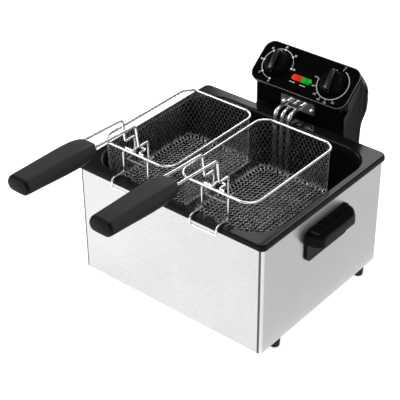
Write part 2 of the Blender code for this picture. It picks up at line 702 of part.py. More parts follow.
def make_inlet(cover, parent):
    """The socket for the supply lead, low on the back cover, with its three pins."""
    x, z = 0.0, 0.0880
    back = 0.3168
    outline = rounded_rectangle((x - 0.0150, z - 0.0110), (x + 0.0150, z + 0.0110), 0.003, 3)
    recess = rounded_rectangle((x - 0.0120, z - 0.0080), (x + 0.0120, z + 0.0080), 0.002, 3)
    hole = rounded_rectangle((x - 0.0153, z - 0.0113), (x + 0.0153, z + 0.0113), 0.003, 3)
    cut(cover, loft([[(u, y, w) for u, w in hole] for y in (0.3080, 0.3200)]))
    socket = loft([[(u, y, w) for u, w in outline] for y in (0.2990, back)])
    inlet = add_mesh("power_inlet", socket, parent, "matte_black")
    cut(inlet, loft([[(u, y, w) for u, w in recess] for y in (0.3020, 0.3300)]))
    for name, pin_x, pin_z in (("live", -0.0060, -0.0020), ("earth", 0.0, 0.0030), ("neutral", 0.0060, -0.0020)):
        pin = box((x + pin_x - 0.0010, 0.3023, z + pin_z - 0.0020), (x + pin_x + 0.0010, 0.3110, z + pin_z + 0.0020))
        add_mesh("inlet_pin_" + name, pin, parent, "brass")


RESET_X, RESET_Z = 0.0420, 0.1150


def make_cutout(cover, parent):
    """The thermal cut-out and the button through the back cover that resets it."""
    cut(cover, cylinder(0.0048, (RESET_X, 0.3050, RESET_Z), (RESET_X, 0.3250, RESET_Z), 16))
    body = box((RESET_X - 0.0100, 0.2850, RESET_Z - 0.0110), (RESET_X + 0.0100, 0.3020, RESET_Z + 0.0110))
    add_mesh("thermal_cutout", body, parent, "beige_plastic")
    axis = empty("reset_axis", parent, (RESET_X, 0.3151, RESET_Z), (-math.pi / 2, 0.0, 0.0))
    button = [(0.0044, -0.0085), (0.0044, 0.0010), (0.0036, 0.0018)]
    add_mesh("reset_button", turned_solid(button, 16), axis, "red_lens")


# ---------------------------------------------------------------- baskets and their handles

def basket_outline(half_x, front, rear, corner):
    return rounded_rectangle((-half_x, front), (half_x, rear), corner, 4)


def make_basket(name, parent):
    rim = basket_outline(BASKET_HALF_X, BASKET_FRONT_Y, BASKET_REAR_Y, BASKET_CORNER)
    wire(name + "_rim_wire", [(x, y, BASKET_TOP) for x, y in rim], RIM_WIRE, parent, "bright_steel", closed=True)
    make_tub(name, parent)
    make_hook(name, parent)
    make_loop(name, parent)
    make_pivot_loops(name, parent)


def tub_ring(share, inward, z):
    """The tub's outline at a share of its depth, from 0 at the top to 1 at the floor."""
    shrink = BASKET_TAPER * share + inward
    return [(x, y, z) for x, y in basket_outline(BASKET_HALF_X - shrink, BASKET_FRONT_Y + shrink,
                                                 BASKET_REAR_Y - shrink, BASKET_CORNER - inward)]


def make_tub(name, parent):
    """The basket's walls and floor as one thin open tub."""
    top = BASKET_TOP - RIM_WIRE - GAP
    floor = BASKET_FLOOR
    bend = 0.006
    rings = [
        tub_ring(1.0, bend, floor),
        tub_ring(0.97, bend * 0.3, floor + bend * 0.3),
        tub_ring(0.92, 0.0, floor + bend),
        tub_ring(0.0, 0.0, top),
        tub_ring(0.0, TUB_WALL, top),
        tub_ring(0.92, TUB_WALL, floor + bend),
        tub_ring(0.97, TUB_WALL + bend * 0.3, floor + bend * 0.3 + TUB_WALL),
        tub_ring(1.0, TUB_WALL + bend, floor + TUB_WALL),
    ]
    add_mesh(name + "_mesh_tub", loft(rings), parent, "bright_steel")


def front_wall_y(z):
    """How far back the tub's outer front wall is at this height."""
    return BASKET_FRONT_Y + BASKET_TAPER * (BASKET_TOP - z) / (BASKET_TOP - BASKET_FLOOR)


def make_hook(name, parent):
    """The wire hook that hangs the basket on the pot's front rim to drain."""
    left, right = HOOK_X
    lift = HOOK_WIRE + GAP + 0.0002
    top = BASKET_TOP - RIM_WIRE - 2 * GAP

    def leg(x):
        return [(x, front_wall_y(top) - lift, top, 0), (x, front_wall_y(HOOK_REST) - lift, HOOK_REST, 0.003),
                (x, HOOK_OUT_Y, HOOK_REST, 0.005), (x, HOOK_OUT_Y, HOOK_LOW_Z, 0.003)]

    route = leg(left) + leg(right)[::-1]
    wire(name + "_hook", filleted(route, 4, closed=False), HOOK_WIRE, parent, "bright_steel")


def make_loop(name, parent):
    """The wire bracket on top of the rim, between the handle's two wires."""
    z = BASKET_TOP + RIM_WIRE + HOOK_WIRE + GAP
    front, rear = BASKET_FRONT_Y + 0.0010, PIVOT_Y - 0.0006
    route = [(-0.0150, front, z, 0), (-0.0018, front, z, 0.0015), (-0.0050, rear, z, 0.003),
             (0.0074, rear, z, 0.003), (0.0074, front, z, 0.002), (0.0150, front, z, 0)]
    wire(name + "_bracket", filleted(route, 3, closed=False), HOOK_WIRE, parent, "bright_steel")


def make_pivot_loops(name, parent):
    """One wire inside the front wall with a long eye at each end for the handle's turned-out ends."""
    radius = 0.0012
    near = front_wall_y(PIVOT_Z) + TUB_WALL + radius + 2 * GAP
    x = HANDLE_HALF_GAP + 0.0048
    half = HANDLE_WIRE + radius + 0.0006
    far = PIVOT_Y + 0.0062
    low, high = PIVOT_Z - half, PIVOT_Z + half
    route = [(-x, near, high, 0), (-x, far, high, half * 0.98), (-x, far, low, half * 0.98), (-x, near, low, 0.002),
             (x, near, low, 0.002), (x, far, low, half * 0.98), (x, far, high, half * 0.98), (x, near, high, 0)]
    wire(name + "_pivot_loops", filleted(route, 4, closed=False), radius, parent, "bright_steel")


def make_handle(name, parent):
    """Twin wires with turned-out ends, and the grip that they run into."""
    pivot = empty(name + "_handle_pivot", parent, (0.0, PIVOT_Y, PIVOT_Z))
    end_y = GRIP_INNER_Y - 0.045
    for side_name, side in (("left", -1), ("right", 1)):
        x = side * HANDLE_HALF_GAP
        route = [(x + side * 0.0070, PIVOT_Y, PIVOT_Z, 0), (x, PIVOT_Y, PIVOT_Z, 0.0022),
                 (x, PIVOT_Y, CRANK_Z, 0.0030), (x, LEG_LOW_Y, CRANK_Z, 0.0030),
                 (x, LEG_TOP_Y, ARM_Z, 0.0050), (x + arm_drift(end_y), end_y, arm_height(end_y), 0)]
        route = [(u, v - PIVOT_Y, w - PIVOT_Z, r) for u, v, w, r in route]
        wire("%s_handle_wire_%s" % (name, side_name), filleted(route, 3, closed=False), HANDLE_WIRE,
             pivot, "bright_steel")
    make_grip(name, pivot)


def arm_height(y):
    """Height of the twin wires' centre line on their way out to the grip."""
    return ARM_Z + (LEG_TOP_Y - y) * math.tan(ARM_RISE)


def arm_drift(y):
    """How far to the left the arms have drifted on their way out to the grip."""
    return (y - LEG_TOP_Y) * ARM_DRIFT


def grip_section(wide, half_z):
    """Half of the grip's outline is a flat top with a crease, a full side and a narrower underside."""
    top, side = GRIP_TOP_HALF, GRIP_HALF_WIDTH
    right = [(0.0085, -1.0), (0.0120, -0.93), (0.0150, -0.52), (side, 0.0), (0.0150, 0.52), (top, 1.0)]
    outline = [(x * wide, z * half_z) for x, z in right]
    return outline + [(-x, z) for x, z in reversed(outline)]


def make_grip(name, pivot):
    """The moulded grip: round at its inner end and cut square at its outer end."""
    # distance from the inner end, width factor, top and bottom heights
    stations = [(0.0000, 0.52, 0.2470, 0.2390), (0.0014, 0.70, 0.2486, 0.2366), (0.0050, 0.88, 0.2504, 0.2340),
                (0.0110, 1.00, 0.2517, 0.2320), (0.0220, 1.08, 0.2528, 0.2306), (0.0450, 1.07, 0.2534, 0.2304),
                (0.0800, 1.02, 0.2534, 0.2322), (0.1155, 1.00, 0.2532, 0.2342), (0.1170, 0.93, 0.2524, 0.2352)]
    rings = []
    for along, wide, top, bottom in stations:
        y = GRIP_INNER_Y - along
        middle, half_z = (top + bottom) / 2, (top - bottom) / 2
        section = grip_section(wide, half_z)
        rings.append([(x + arm_drift(y), y - PIVOT_Y, middle + z - PIVOT_Z) for x, z in section])
    grip = add_mesh(name + "_grip", loft(rings), pivot, "matte_black")
    for side in (-1, 1):
        x = side * HANDLE_HALF_GAP
        reach = (GRIP_INNER_Y + 0.010, GRIP_INNER_Y - 0.0470)
        ends = [(x + arm_drift(y), y - PIVOT_Y, arm_height(y) - PIVOT_Z) for y in reach]
        cut(grip, cylinder(HANDLE_WIRE + 0.0004, ends[0], ends[1], 10))


def main():
    clear_scene()
    head_back = head_corners()[0][3][0]
    top = empty("fryer", None, (0.0, -(GRIP_OUTER_Y + head_back) / 2, FOOT_HEIGHT))
    make_casing(top)
    pot = empty("pot_slide", top)
    make_pot(pot)
    head = empty("head_slide", pot)
    make_head(head)
    for name, place in BASKET_X.items():
        basket = empty(name + "_slide", head, (place, 0.0, 0.0))
        make_basket(name, basket)
        make_handle(name, basket)


main()
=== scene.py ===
"""Looks of the twin-basket deep fryer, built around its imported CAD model."""

import json
import math

import bmesh
import bpy
from mathutils import Matrix, Vector

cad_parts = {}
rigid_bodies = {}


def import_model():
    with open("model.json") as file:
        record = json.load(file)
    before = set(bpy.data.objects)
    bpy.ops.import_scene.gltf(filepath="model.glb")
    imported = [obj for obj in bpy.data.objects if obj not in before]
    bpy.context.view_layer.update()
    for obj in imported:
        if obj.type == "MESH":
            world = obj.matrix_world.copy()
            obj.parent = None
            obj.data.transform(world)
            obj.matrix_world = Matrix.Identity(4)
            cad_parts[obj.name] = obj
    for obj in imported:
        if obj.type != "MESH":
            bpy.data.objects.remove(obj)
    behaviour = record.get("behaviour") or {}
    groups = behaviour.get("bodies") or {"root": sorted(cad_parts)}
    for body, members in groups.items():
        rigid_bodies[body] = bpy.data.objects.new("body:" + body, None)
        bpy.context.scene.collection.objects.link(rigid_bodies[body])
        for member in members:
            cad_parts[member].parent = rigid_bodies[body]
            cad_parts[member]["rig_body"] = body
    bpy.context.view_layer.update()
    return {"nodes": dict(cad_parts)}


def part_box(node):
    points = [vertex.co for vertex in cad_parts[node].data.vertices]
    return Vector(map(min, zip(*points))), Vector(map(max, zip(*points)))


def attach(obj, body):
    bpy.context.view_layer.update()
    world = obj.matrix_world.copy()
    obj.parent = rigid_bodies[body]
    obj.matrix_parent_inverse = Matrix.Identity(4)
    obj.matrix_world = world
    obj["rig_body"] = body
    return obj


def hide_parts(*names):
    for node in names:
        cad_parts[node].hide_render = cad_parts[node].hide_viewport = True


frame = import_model()

# Sizes are in metres. In the casing frame, which most of them use, X runs from the casing's middle,
# Y from its front face and Z from its bottom edge.
CASE_LOW, CASE_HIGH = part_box("casing_shell")
ORIGIN = Vector(((CASE_LOW.x + CASE_HIGH.x) / 2, CASE_LOW.y, CASE_LOW.z))

# ---------------------------------------------------------------- camera, light and floor

CAMERA_TARGET = Vector((-0.0522, 0.0473, 0.0915))
CAMERA_PLACE = Vector((0.8240, -1.0044, 1.0163))
CAMERA_ROLL = math.radians(-0.53)
# Focal length and sensor width in millimetres.
CAMERA_LENS, CAMERA_SENSOR = 112.3, 36
WORLD_STRENGTH = 0.22
# Each soft light's place, what it points at, its size and its power in watts.
LIGHTS = {
    "key_light": ((-1.2, -1.3, 1.5), (0.0, 0.0, 0.1), (0.9, 0.9), 16.0),
    "back_softbox": ((-0.71, 1.45, 1.27), (0.0, 0.05, 0.16), (0.74, 0.74), 9.6),
    "left_softbox": ((-1.65, 0.10, 0.62), (0.0, 0.15, 0.20), (1.1, 0.8), 5.0),
    "top_light": ((0.3, 0.1, 2.3), (0.0, 0.05, 0.1), (1.2, 1.2), 14.0),
}
FLOOR_HALF, FLOOR_Z, FLOOR_GLOW = 6.0, -0.0002, 0.72
WALL_RADIUS, WALL_HEIGHT, WALL_SIDES, WALL_GLOW = 5.9, 6.0, 64, 0.86
CARD_LOW, CARD_HIGH, CARD_Z, CARD_GLOW = (0.160, -0.35), (1.5, 1.6), 0.0004, 0.82
# The kinds of ray that pass through both the wall and the card.
UNLIT = ("diffuse", "shadow", "transmission")


def make_camera():
    data = bpy.data.cameras.new("camera")
    data.lens = CAMERA_LENS
    data.sensor_width = CAMERA_SENSOR
    camera = bpy.data.objects.new("camera", data)
    bpy.context.scene.collection.objects.link(camera)
    back = (CAMERA_PLACE - CAMERA_TARGET).normalized()
    turn = back.to_track_quat("Z", "Y").to_matrix().to_4x4()
    camera.matrix_world = Matrix.Translation(CAMERA_PLACE) @ turn @ Matrix.Rotation(CAMERA_ROLL, 4, "Z")
    bpy.context.scene.camera = camera


def make_area(name, spot, target, size, power):
    data = bpy.data.lights.new(name, "AREA")
    data.shape = "RECTANGLE"
    data.size, data.size_y = size
    data.energy = power
    lamp = bpy.data.objects.new(name, data)
    bpy.context.scene.collection.objects.link(lamp)
    lamp.location = spot
    lamp.rotation_euler = (Vector(spot) - Vector(target)).to_track_quat("Z", "Y").to_euler()


def make_studio():
    scene = bpy.context.scene
    scene.view_settings.view_transform = "Standard"
    scene.view_settings.look = "None"
    world = bpy.data.worlds.new("studio")
    scene.world = world
    world.use_nodes = True
    background = world.node_tree.nodes["Background"]
    background.inputs["Color"].default_value = (1.0, 1.0, 1.0, 1.0)
    background.inputs["Strength"].default_value = WORLD_STRENGTH
    for name, (spot, target, size, power) in LIGHTS.items():
        make_area(name, spot, target, size, power)


def make_stage_piece(name, verts, faces, material, unseen_by=()):
    """A piece of the set. unseen_by names the kinds of ray that pass through it."""
    mesh = bpy.data.meshes.new(name)
    mesh.from_pydata(verts, [], faces)
    made = bpy.data.objects.new(name, mesh)
    bpy.context.scene.collection.objects.link(made)
    made.data.materials.append(material)
    for ray in unseen_by:
        setattr(made, "visible_" + ray, False)


def flat_patch(low, high, z):
    verts = [(low[0], low[1], z), (high[0], low[1], z), (high[0], high[1], z), (low[0], high[1], z)]
    return verts, [(0, 1, 2, 3)]


def round_wall(radius, height, sides):
    verts = [(x, y, z) for z in (0.0, height) for x, y in circle(radius, sides)]
    faces = [((k + 1) % sides, k, sides + k, sides + (k + 1) % sides) for k in range(sides)]
    return verts, faces


def make_stage():
    """The floor, a wall round it that only the camera sees, and a card that only reflections show."""
    floor = flat_patch((-FLOOR_HALF, -FLOOR_HALF), (FLOOR_HALF, FLOOR_HALF), FLOOR_Z)
    make_stage_piece("floor", *floor, floor_material())
    wall = round_wall(WALL_RADIUS, WALL_HEIGHT, WALL_SIDES)
    make_stage_piece("backdrop", *wall, glow_material("backdrop_pale", WALL_GLOW), UNLIT + ("glossy",))
    card = flat_patch(CARD_LOW, CARD_HIGH, CARD_Z)
    make_stage_piece("reflector_card", *card, glow_material("card_grey", CARD_GLOW), UNLIT + ("camera",))


# ---------------------------------------------------------------- materials

def new_material(name, colour, roughness, metallic, **more):
    """A Principled material whose even values sit on the shader's own sockets."""
    made = bpy.data.materials.new(name)
    made.use_nodes = True
    shader = made.node_tree.nodes["Principled BSDF"]
    shader.inputs["Base Color"].default_value = (*colour, 1.0)
    shader.inputs["Roughness"].default_value = roughness
    shader.inputs["Metallic"].default_value = metallic
    for socket, value in more.items():
        shader.inputs[socket.replace("_", " ")].default_value = value
    return made


def add_node(made, kind, **settings):
    node = made.node_tree.nodes.new(kind)
    for key, value in settings.items():
        setattr(node, key, value)
    return node


def link(made, out, into):
    made.node_tree.links.new(out, into)


def noise(made, scale, detail, stretch=(1.0, 1.0, 1.0), roughness=0.5):
    """Noise over the piece's own places in metres. A higher stretch makes it finer along that axis."""
    coordinates = add_node(made, "ShaderNodeTexCoord")
    mapping = add_node(made, "ShaderNodeMapping")
    mapping.inputs["Scale"].default_value = stretch
    pattern = add_node(made, "ShaderNodeTexNoise")
    pattern.inputs["Scale"].default_value = scale
    pattern.inputs["Detail"].default_value = detail
    pattern.inputs["Roughness"].default_value = roughness
    link(made, coordinates.outputs["Object"], mapping.inputs["Vector"])
    link(made, mapping.outputs["Vector"], pattern.inputs["Vector"])
    return pattern


def ranged(made, source, low, high, from_low=0.3, from_high=0.7):
    """A value carried from one range to another. The usual first range is what most noise falls in."""
    node = add_node(made, "ShaderNodeMapRange")
    node.inputs["From Min"].default_value = from_low
    node.inputs["From Max"].default_value = from_high
    node.inputs["To Min"].default_value = low
    node.inputs["To Max"].default_value = high
    link(made, source, node.inputs["Value"])
    return node.outputs["Result"]


def shader_of(made):
    return made.node_tree.nodes["Principled BSDF"]


def vary_roughness(made, pattern, low, high):
    link(made, ranged(made, pattern.outputs["Fac"], low, high), shader_of(made).inputs["Roughness"])


def colour_ramp(made, source, *stops):
    """The colour that a value from 0 to 1 picks from (position, colour) stops."""
    node = add_node(made, "ShaderNodeValToRGB")
    elements = node.color_ramp.elements
    while len(elements) < len(stops):
        elements.new(0.5)
    for element, (position, colour) in zip(elements, stops):
        element.position = position
        element.color = (*colour, 1.0)
    link(made, source, node.inputs["Fac"])
    return node.outputs["Color"]


def mixed(made, blend, factor, first, second):
    """Two colours mixed. Each input is a node's output or an even value."""
    node = add_node(made, "ShaderNodeMix", data_type="RGBA", blend_type=blend)
    for index, source in ((0, factor), (6, first), (7, second)):
        if isinstance(source, bpy.types.NodeSocket):
            link(made, source, node.inputs[index])
        else:
            node.inputs[index].default_value = source
    return node.outputs[2]


def object_axis(made, axis):
    coordinates = add_node(made, "ShaderNodeTexCoord")
    split = add_node(made, "ShaderNodeSeparateXYZ")
    link(made, coordinates.outputs["Object"], split.inputs["Vector"])
    return split.outputs[axis]


def vary_colour(made, pattern, first, second):
    """Base colour that wanders between two colours with a noise pattern."""
    colour = colour_ramp(made, pattern.outputs["Fac"], (0.32, first), (0.68, second))
    link(made, colour, shader_of(made).inputs["Base Color"])
    return colour


def add_bump(made, height, strength, distance):
    bump = add_node(made, "ShaderNodeBump")
    bump.inputs["Strength"].default_value = strength
    bump.inputs["Distance"].default_value = distance
    link(made, height, bump.inputs["Height"])
    link(made, bump.outputs["Normal"], shader_of(made).inputs["Normal"])


def grey(value):
    return (value, value, value)


# How wide the zone of painted reflection beside each folded corner is, and how light it is across: 0.5 is the
# bare sheet, 0 a painted dark line and 1 a painted highlight.
FOLD_WIDTH = 0.0070
FOLD_PAINTED_REFLECTION = ((0.0, 0.5), (0.20, 0.5), (0.27, 0.0), (0.60, 0.0), (0.69, 1.0), (0.97, 1.0), (1.0, 0.5))
FOLD_PAINTED_DARK_LINE, FOLD_PAINTED_HIGHLIGHT = (0.10, 0.10, 0.10, 1.0), (1.0, 1.0, 1.0, 1.0)


def casing_steel():
    """Satin steel with fine level brushing, and a painted dark line and painted highlight beside its folded
    corners.
    """
    made = new_material("casing_steel", grey(0.65), 0.27, 1.0, Anisotropic=0.90, Anisotropic_Rotation=0.25)
    brushed = noise(made, 1.0, 4.0, (3.0, 3.0, 900.0), 0.6)
    vary_roughness(made, brushed, 0.255, 0.285)
    add_bump(made, brushed.outputs["Fac"], 0.008, 0.0002)
    sheet = vary_colour(made, noise(made, 9.0, 2.0), grey(0.63), grey(0.67))
    # Painted reflection: beside each folded corner a dark line and a highlight are painted into the base
    # colour.
    across = add_node(made, "ShaderNodeMath", operation="ABSOLUTE")
    link(made, object_axis(made, "X"), across.inputs[0])
    half = (CASE_HIGH.x - CASE_LOW.x) / 2
    fold = ranged(made, across.outputs["Value"], 0.0, 1.0, half - FOLD_WIDTH, half)
    lines = colour_ramp(made, fold, *((position, grey(value)) for position, value in FOLD_PAINTED_REFLECTION))
    darker = mixed(made, "MIX", ranged(made, lines, 1.0, 0.0, 0.0, 0.5), sheet, FOLD_PAINTED_DARK_LINE)
    lighter = mixed(made, "MIX", ranged(made, lines, 0.0, 1.0, 0.5, 1.0), darker, FOLD_PAINTED_HIGHLIGHT)
    link(made, lighter, shader_of(made).inputs["Base Color"])
    return made


def plain_steel(name, value, rough, scale=60.0):
    """Drawn wire, tube or pressed sheet: bright, with fine drawing marks."""
    made = new_material(name, grey(value), rough, 1.0)
    drawn = noise(made, scale, 4.0, (1.0, 1.0, 1.0), 0.6)
    vary_roughness(made, drawn, rough * 0.75, rough * 1.35)
    vary_colour(made, noise(made, scale * 0.5, 2.0), grey(value * 0.93), grey(min(value * 1.05, 0.98)))
    add_bump(made, noise(made, scale * 8, 2.0).outputs["Fac"], 0.02, 0.00005)
    return made


def paint_light_by_height(made, low, high, *stops):
    """Greys by height between two levels of the casing frame, with a fine mottle over them: painted light and
    shade.
    """
    height = ranged(made, object_axis(made, "Z"), 0.0, 1.0, ORIGIN.z + low, ORIGIN.z + high)
    painted_light_there = colour_ramp(made, height, *((share, grey(value)) for share, value in stops))
    fine = ranged(made, noise(made, 900.0, 3.0).outputs["Fac"], 0.90, 1.10)
    link(made, mixed(made, "MULTIPLY", 1.0, painted_light_there, fine), shader_of(made).inputs["Base Color"])
    return made


# Heights in the casing frame between which a piece's colour changes, painting light and shade.
ELEMENT_PAINTED_SHADE_BAND, MESH_PAINTED_LIGHT_BAND, GRIP_PAINTED_LIGHT_BAND = (0.080, 0.165), (0.127, 0.134), (0.236, 0.248)


def element_steel():
    """Bright tube near the top, with painted shade darkening it towards the bottom of the pot."""
    made = plain_steel("element_steel", 0.80, 0.23, 30.0)
    shader_of(made).inputs["Metallic"].default_value = 0.95
    # Painted shade: near black at the bottom of the pot, bright near its top.
    return paint_light_by_height(made, *ELEMENT_PAINTED_SHADE_BAND, (0.0, 0.03), (0.30, 0.80), (1.0, 0.96))


def woven_steel():
    """Thin crimped wire with painted light: darker on the walls, lighter on the floor of the basket."""
    made = plain_steel("woven_steel", 0.60, 0.28, 90.0)
    # Painted light: the floor rows at full brightness, the wall loops at about a quarter of it.
    return paint_light_by_height(made, *MESH_PAINTED_LIGHT_BAND, (0.0, 1.0), (1.0, 0.26))


def enamel():
    """Black glazed pot: glossy, with the faint ripple and speckle of vitreous enamel."""
    made = new_material("pot_enamel", grey(0.006), 0.14, 0.0, Specular_IOR_Level=0.078)
    ripple = noise(made, 140.0, 2.0)
    speckle = noise(made, 1400.0, 2.0)
    vary_roughness(made, noise(made, 35.0, 3.0), 0.11, 0.19)
    vary_colour(made, speckle, grey(0.005), grey(0.010))
    add_bump(made, ripple.outputs["Fac"], 0.05, 0.0004)
    return made


def plastic(name, colour, rough, spread, bump, grain=900.0, **more):
    """Moulded plastic with a fine grain in its gloss, colour and surface."""
    made = new_material(name, colour, rough, 0.0, **more)
    fine = noise(made, grain, 3.0)
    vary_roughness(made, noise(made, 42.0, 3.0), max(rough - spread, 0.02), rough + spread)
    vary_colour(made, fine, tuple(0.86 * c for c in colour), tuple(1.14 * c for c in colour))
    add_bump(made, fine.outputs["Fac"], bump, 0.0003)
    return made


def grip_plastic():
    """Soft-touch black with painted light: lighter on top and darker on its undersides."""
    made = plastic("grip_black", grey(0.030), 0.44, 0.06, 0.10, 1600.0, Specular_IOR_Level=0.05)
    # Painted light: near black low on the grip, lighter towards its top.
    return paint_light_by_height(made, *GRIP_PAINTED_LIGHT_BAND, (0.0, 0.005), (1.0, 0.047))


def lens(name, dark, bright):
    """Faceted lamp lens: small pyramids on its back show as darker and lighter cells."""
    made = new_material(name, bright, 0.30, 0.0, Specular_IOR_Level=0.08)
    coordinates = add_node(made, "ShaderNodeTexCoord")
    cells = add_node(made, "ShaderNodeTexVoronoi")
    cells.inputs["Scale"].default_value = 620.0
    cells.inputs["Randomness"].default_value = 0.55
    link(made, coordinates.outputs["Object"], cells.inputs["Vector"])
    colour = vary_colour(made, noise(made, 240.0, 3.0), dark, bright)
    shader = shader_of(made)
    link(made, colour, shader.inputs["Emission Color"])
    shader.inputs["Emission Strength"].default_value = 0.10
    add_bump(made, cells.outputs["Distance"], 0.35, 0.0004)
    return made


def floor_material():
    """The plain pale floor, lifted a little by a light of its own."""
    made = new_material("pale_floor", grey(0.80), 0.62, 0.0, Specular_IOR_Level=0.20)
    vary_colour(made, noise(made, 3.0, 2.0), grey(0.79), grey(0.81))
    shader_of(made).inputs["Emission Color"].default_value = (1.0, 1.0, 1.0, 1.0)
    shader_of(made).inputs["Emission Strength"].default_value = FLOOR_GLOW
    return made


def glow_material(name, strength):
    """Even white light, for the stage only."""
    made = bpy.data.materials.new(name)
    made.use_nodes = True
    nodes = made.node_tree.nodes
    nodes.clear()
    glow = nodes.new("ShaderNodeEmission")
    glow.inputs["Color"].default_value = (1.0, 1.0, 1.0, 1.0)
    glow.inputs["Strength"].default_value = strength
    out = nodes.new("ShaderNodeOutputMaterial")
    made.node_tree.links.new(glow.outputs["Emission"], out.inputs["Surface"])
    return made


make_camera()
MATERIALS = {
    "brushed_steel": casing_steel(),
    "bright_steel": plain_steel("bright_steel", 0.86, 0.17),
    "mesh_steel": woven_steel(),
    "loop_steel": plain_steel("loop_steel", 0.34, 0.30),
    "tube_steel": element_steel(),
    "sheet_steel": plain_steel("sheet_steel", 0.72, 0.30, 40.0),
    "plate_steel": plain_steel("plate_steel", 0.92, 0.26, 40.0),
    "black_enamel": enamel(),
    "gloss_black": plastic("gloss_black", grey(0.005), 0.24, 0.05, 0.03, Specular_IOR_Level=0.034),
    "panel_black": plastic("panel_black", grey(0.0020), 0.36, 0.05, 0.02, 1400.0, Specular_IOR_Level=0.02),
    "knob_black": plastic("knob_black", grey(0.003), 0.26, 0.05, 0.03, Specular_IOR_Level=0.05),
    "knob_gloss": plastic("knob_gloss", grey(0.003), 0.18, 0.04, 0.02, Specular_IOR_Level=0.80),
    # Painted highlight: the grey bead round the panel stands in for light caught on the panel's rim.
    "painted_edge_highlight": plastic("painted_edge_highlight", grey(0.22), 0.30, 0.04, 0.02, Specular_IOR_Level=0.40),
    "handle_black": plastic("handle_black", grey(0.004), 0.18, 0.05, 0.03, Specular_IOR_Level=0.085),
    "grip_black": grip_plastic(),
    "cap_black": plastic("cap_black", grey(0.010), 0.34, 0.06, 0.06, 1600.0, Specular_IOR_Level=0.05),
    "matte_black": plastic("matte_black", grey(0.022), 0.55, 0.06, 0.10),
    "rubber": plastic("rubber", grey(0.016), 0.78, 0.06, 0.16, 700.0, Specular_IOR_Level=0.30),
    "red_lens": lens("red_lens", (0.62, 0.020, 0.005), (1.00, 0.070, 0.012)),
    "green_lens": lens("green_lens", (0.003, 0.21, 0.008), (0.008, 0.66, 0.04)),
    "brass": plain_steel("brass_plate", 0.70, 0.26),
    "beige_plastic": plastic("beige_plastic", (0.60, 0.56, 0.46), 0.50, 0.06, 0.05),
    "lamp_glass": plastic("lamp_glass", (0.85, 0.55, 0.35), 0.12, 0.03, 0.01, Transmission_Weight=0.6),
    "print_white": plastic("print_white", grey(0.95), 0.50, 0.06, 0.05, 2400.0),
    "print_grey": plastic("print_grey", grey(0.60), 0.50, 0.06, 0.05, 2400.0),
}
shader_of(MATERIALS["brass"]).inputs["Base Color"].default_value = (0.78, 0.57, 0.25, 1.0)


# ---------------------------------------------------------------- mesh helpers

def add_piece(name, verts, faces, material, body, replaces=(), *, smooth):
    """One visible piece. smooth is the angle in degrees under which an edge is shaded round."""
    mesh = bpy.data.meshes.new(name)
    mesh.from_pydata([tuple(v) for v in verts], [], faces)
    mesh.update()
    piece = bpy.data.objects.new(name, mesh)
    bpy.context.scene.collection.objects.link(piece)
    piece.data.materials.append(MATERIALS[material])
    shade(mesh, smooth)
    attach(piece, body)
    if replaces:
        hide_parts(*replaces)


def shade(mesh, angle):
    mesh.polygons.foreach_set("use_smooth", [True] * len(mesh.polygons))
    mesh.set_sharp_from_angle(angle=math.radians(angle))


def place(points, matrix=None):
    """Points in the casing frame as world points, after an optional matrix."""
    if matrix is not None:
        points = [matrix @ Vector(p) for p in points]
    return [Vector(p) + ORIGIN for p in points]


def filleted(corners, steps):
    """A path through (x, y, z, radius) corners with each corner between its ends rounded."""
    points = []
    for i, corner in enumerate(corners):
        here, radius = Vector(corner[:3]), corner[3]
        if radius <= 0 or i in (0, len(corners) - 1):
            points.append(here)
            continue
        before = Vector(corners[i - 1][:3]) - here
        after = Vector(corners[i + 1][:3]) - here
        first, second = before.normalized(), after.normalized()
        half = first.angle(second) / 2
        reach = min(radius / math.tan(half), 0.499 * before.length, 0.499 * after.length)
        radius = reach * math.tan(half)
        centre = here + (first + second).normalized() * radius / math.sin(half)
        start, end = here + first * reach - centre, here + second * reach - centre
        axis = start.cross(end).normalized()
        turn = start.angle(end)
        points += [centre + Matrix.Rotation(turn * k / steps, 3, axis) @ start for k in range(steps + 1)]
    return points


def tube(points, radius, sides, closed=False):
    """Vertices and faces of a round wire along the points, closed or with capped ends."""
    points = [Vector(p) for p in points]
    count = len(points)
    tangents = []
    for i in range(count):
        before = points[i - 1] if closed or i else points[i]
        after = points[(i + 1) % count] if closed or i < count - 1 else points[i]
        tangents.append((after - before).normalized())
    side = tangents[0].orthogonal().normalized()
    frames = []
    for i in range(count):
        if i:
            side = tangents[i - 1].rotation_difference(tangents[i]) @ side
        side = (side - tangents[i] * side.dot(tangents[i])).normalized()
        frames.append((side.copy(), tangents[i].cross(side)))
    twist = 0.0
    if closed:
        back = tangents[-1].rotation_difference(tangents[0]) @ side
        twist = math.atan2(back.dot(frames[0][1]), back.dot(frames[0][0]))
    verts = []
    for i, (u, v) in enumerate(frames):
        for k in range(sides):
            angle = 2 * math.pi * k / sides - twist * i / count
            verts.append(points[i] + radius * (math.cos(angle) * u + math.sin(angle) * v))
    faces = []
    for i in range(count if closed else count - 1):
        a, b = i * sides, (i + 1) % count * sides
        for k in range(sides):
            n = (k + 1) % sides
            faces.append((a + k, a + n, b + n, b + k))
    if not closed:
        faces.append(tuple(reversed(range(sides))))
        faces.append(tuple((count - 1) * sides + k for k in range(sides)))
    return verts, faces


def join(parts):
    """Several (vertices, faces) as one."""
    verts, faces = [], []
    for some, those in parts:
        start = len(verts)
        verts += list(some)
        faces += [tuple(start + i for i in face) for face in those]
    return verts, faces


def loft(rings):
    """Closed skin through equal closed rings, with flat ends."""
    sides = len(rings[0])
    verts = [p for ring in rings for p in ring]
    faces = []
    for i in range(len(rings) - 1):
        a, b = i * sides, (i + 1) * sides
        for k in range(sides):
            n = (k + 1) % sides
            faces.append((a + k, a + n, b + n, b + k))
    faces.append(tuple(reversed(range(sides))))
    faces.append(tuple((len(rings) - 1) * sides + k for k in range(sides)))
    return verts, faces


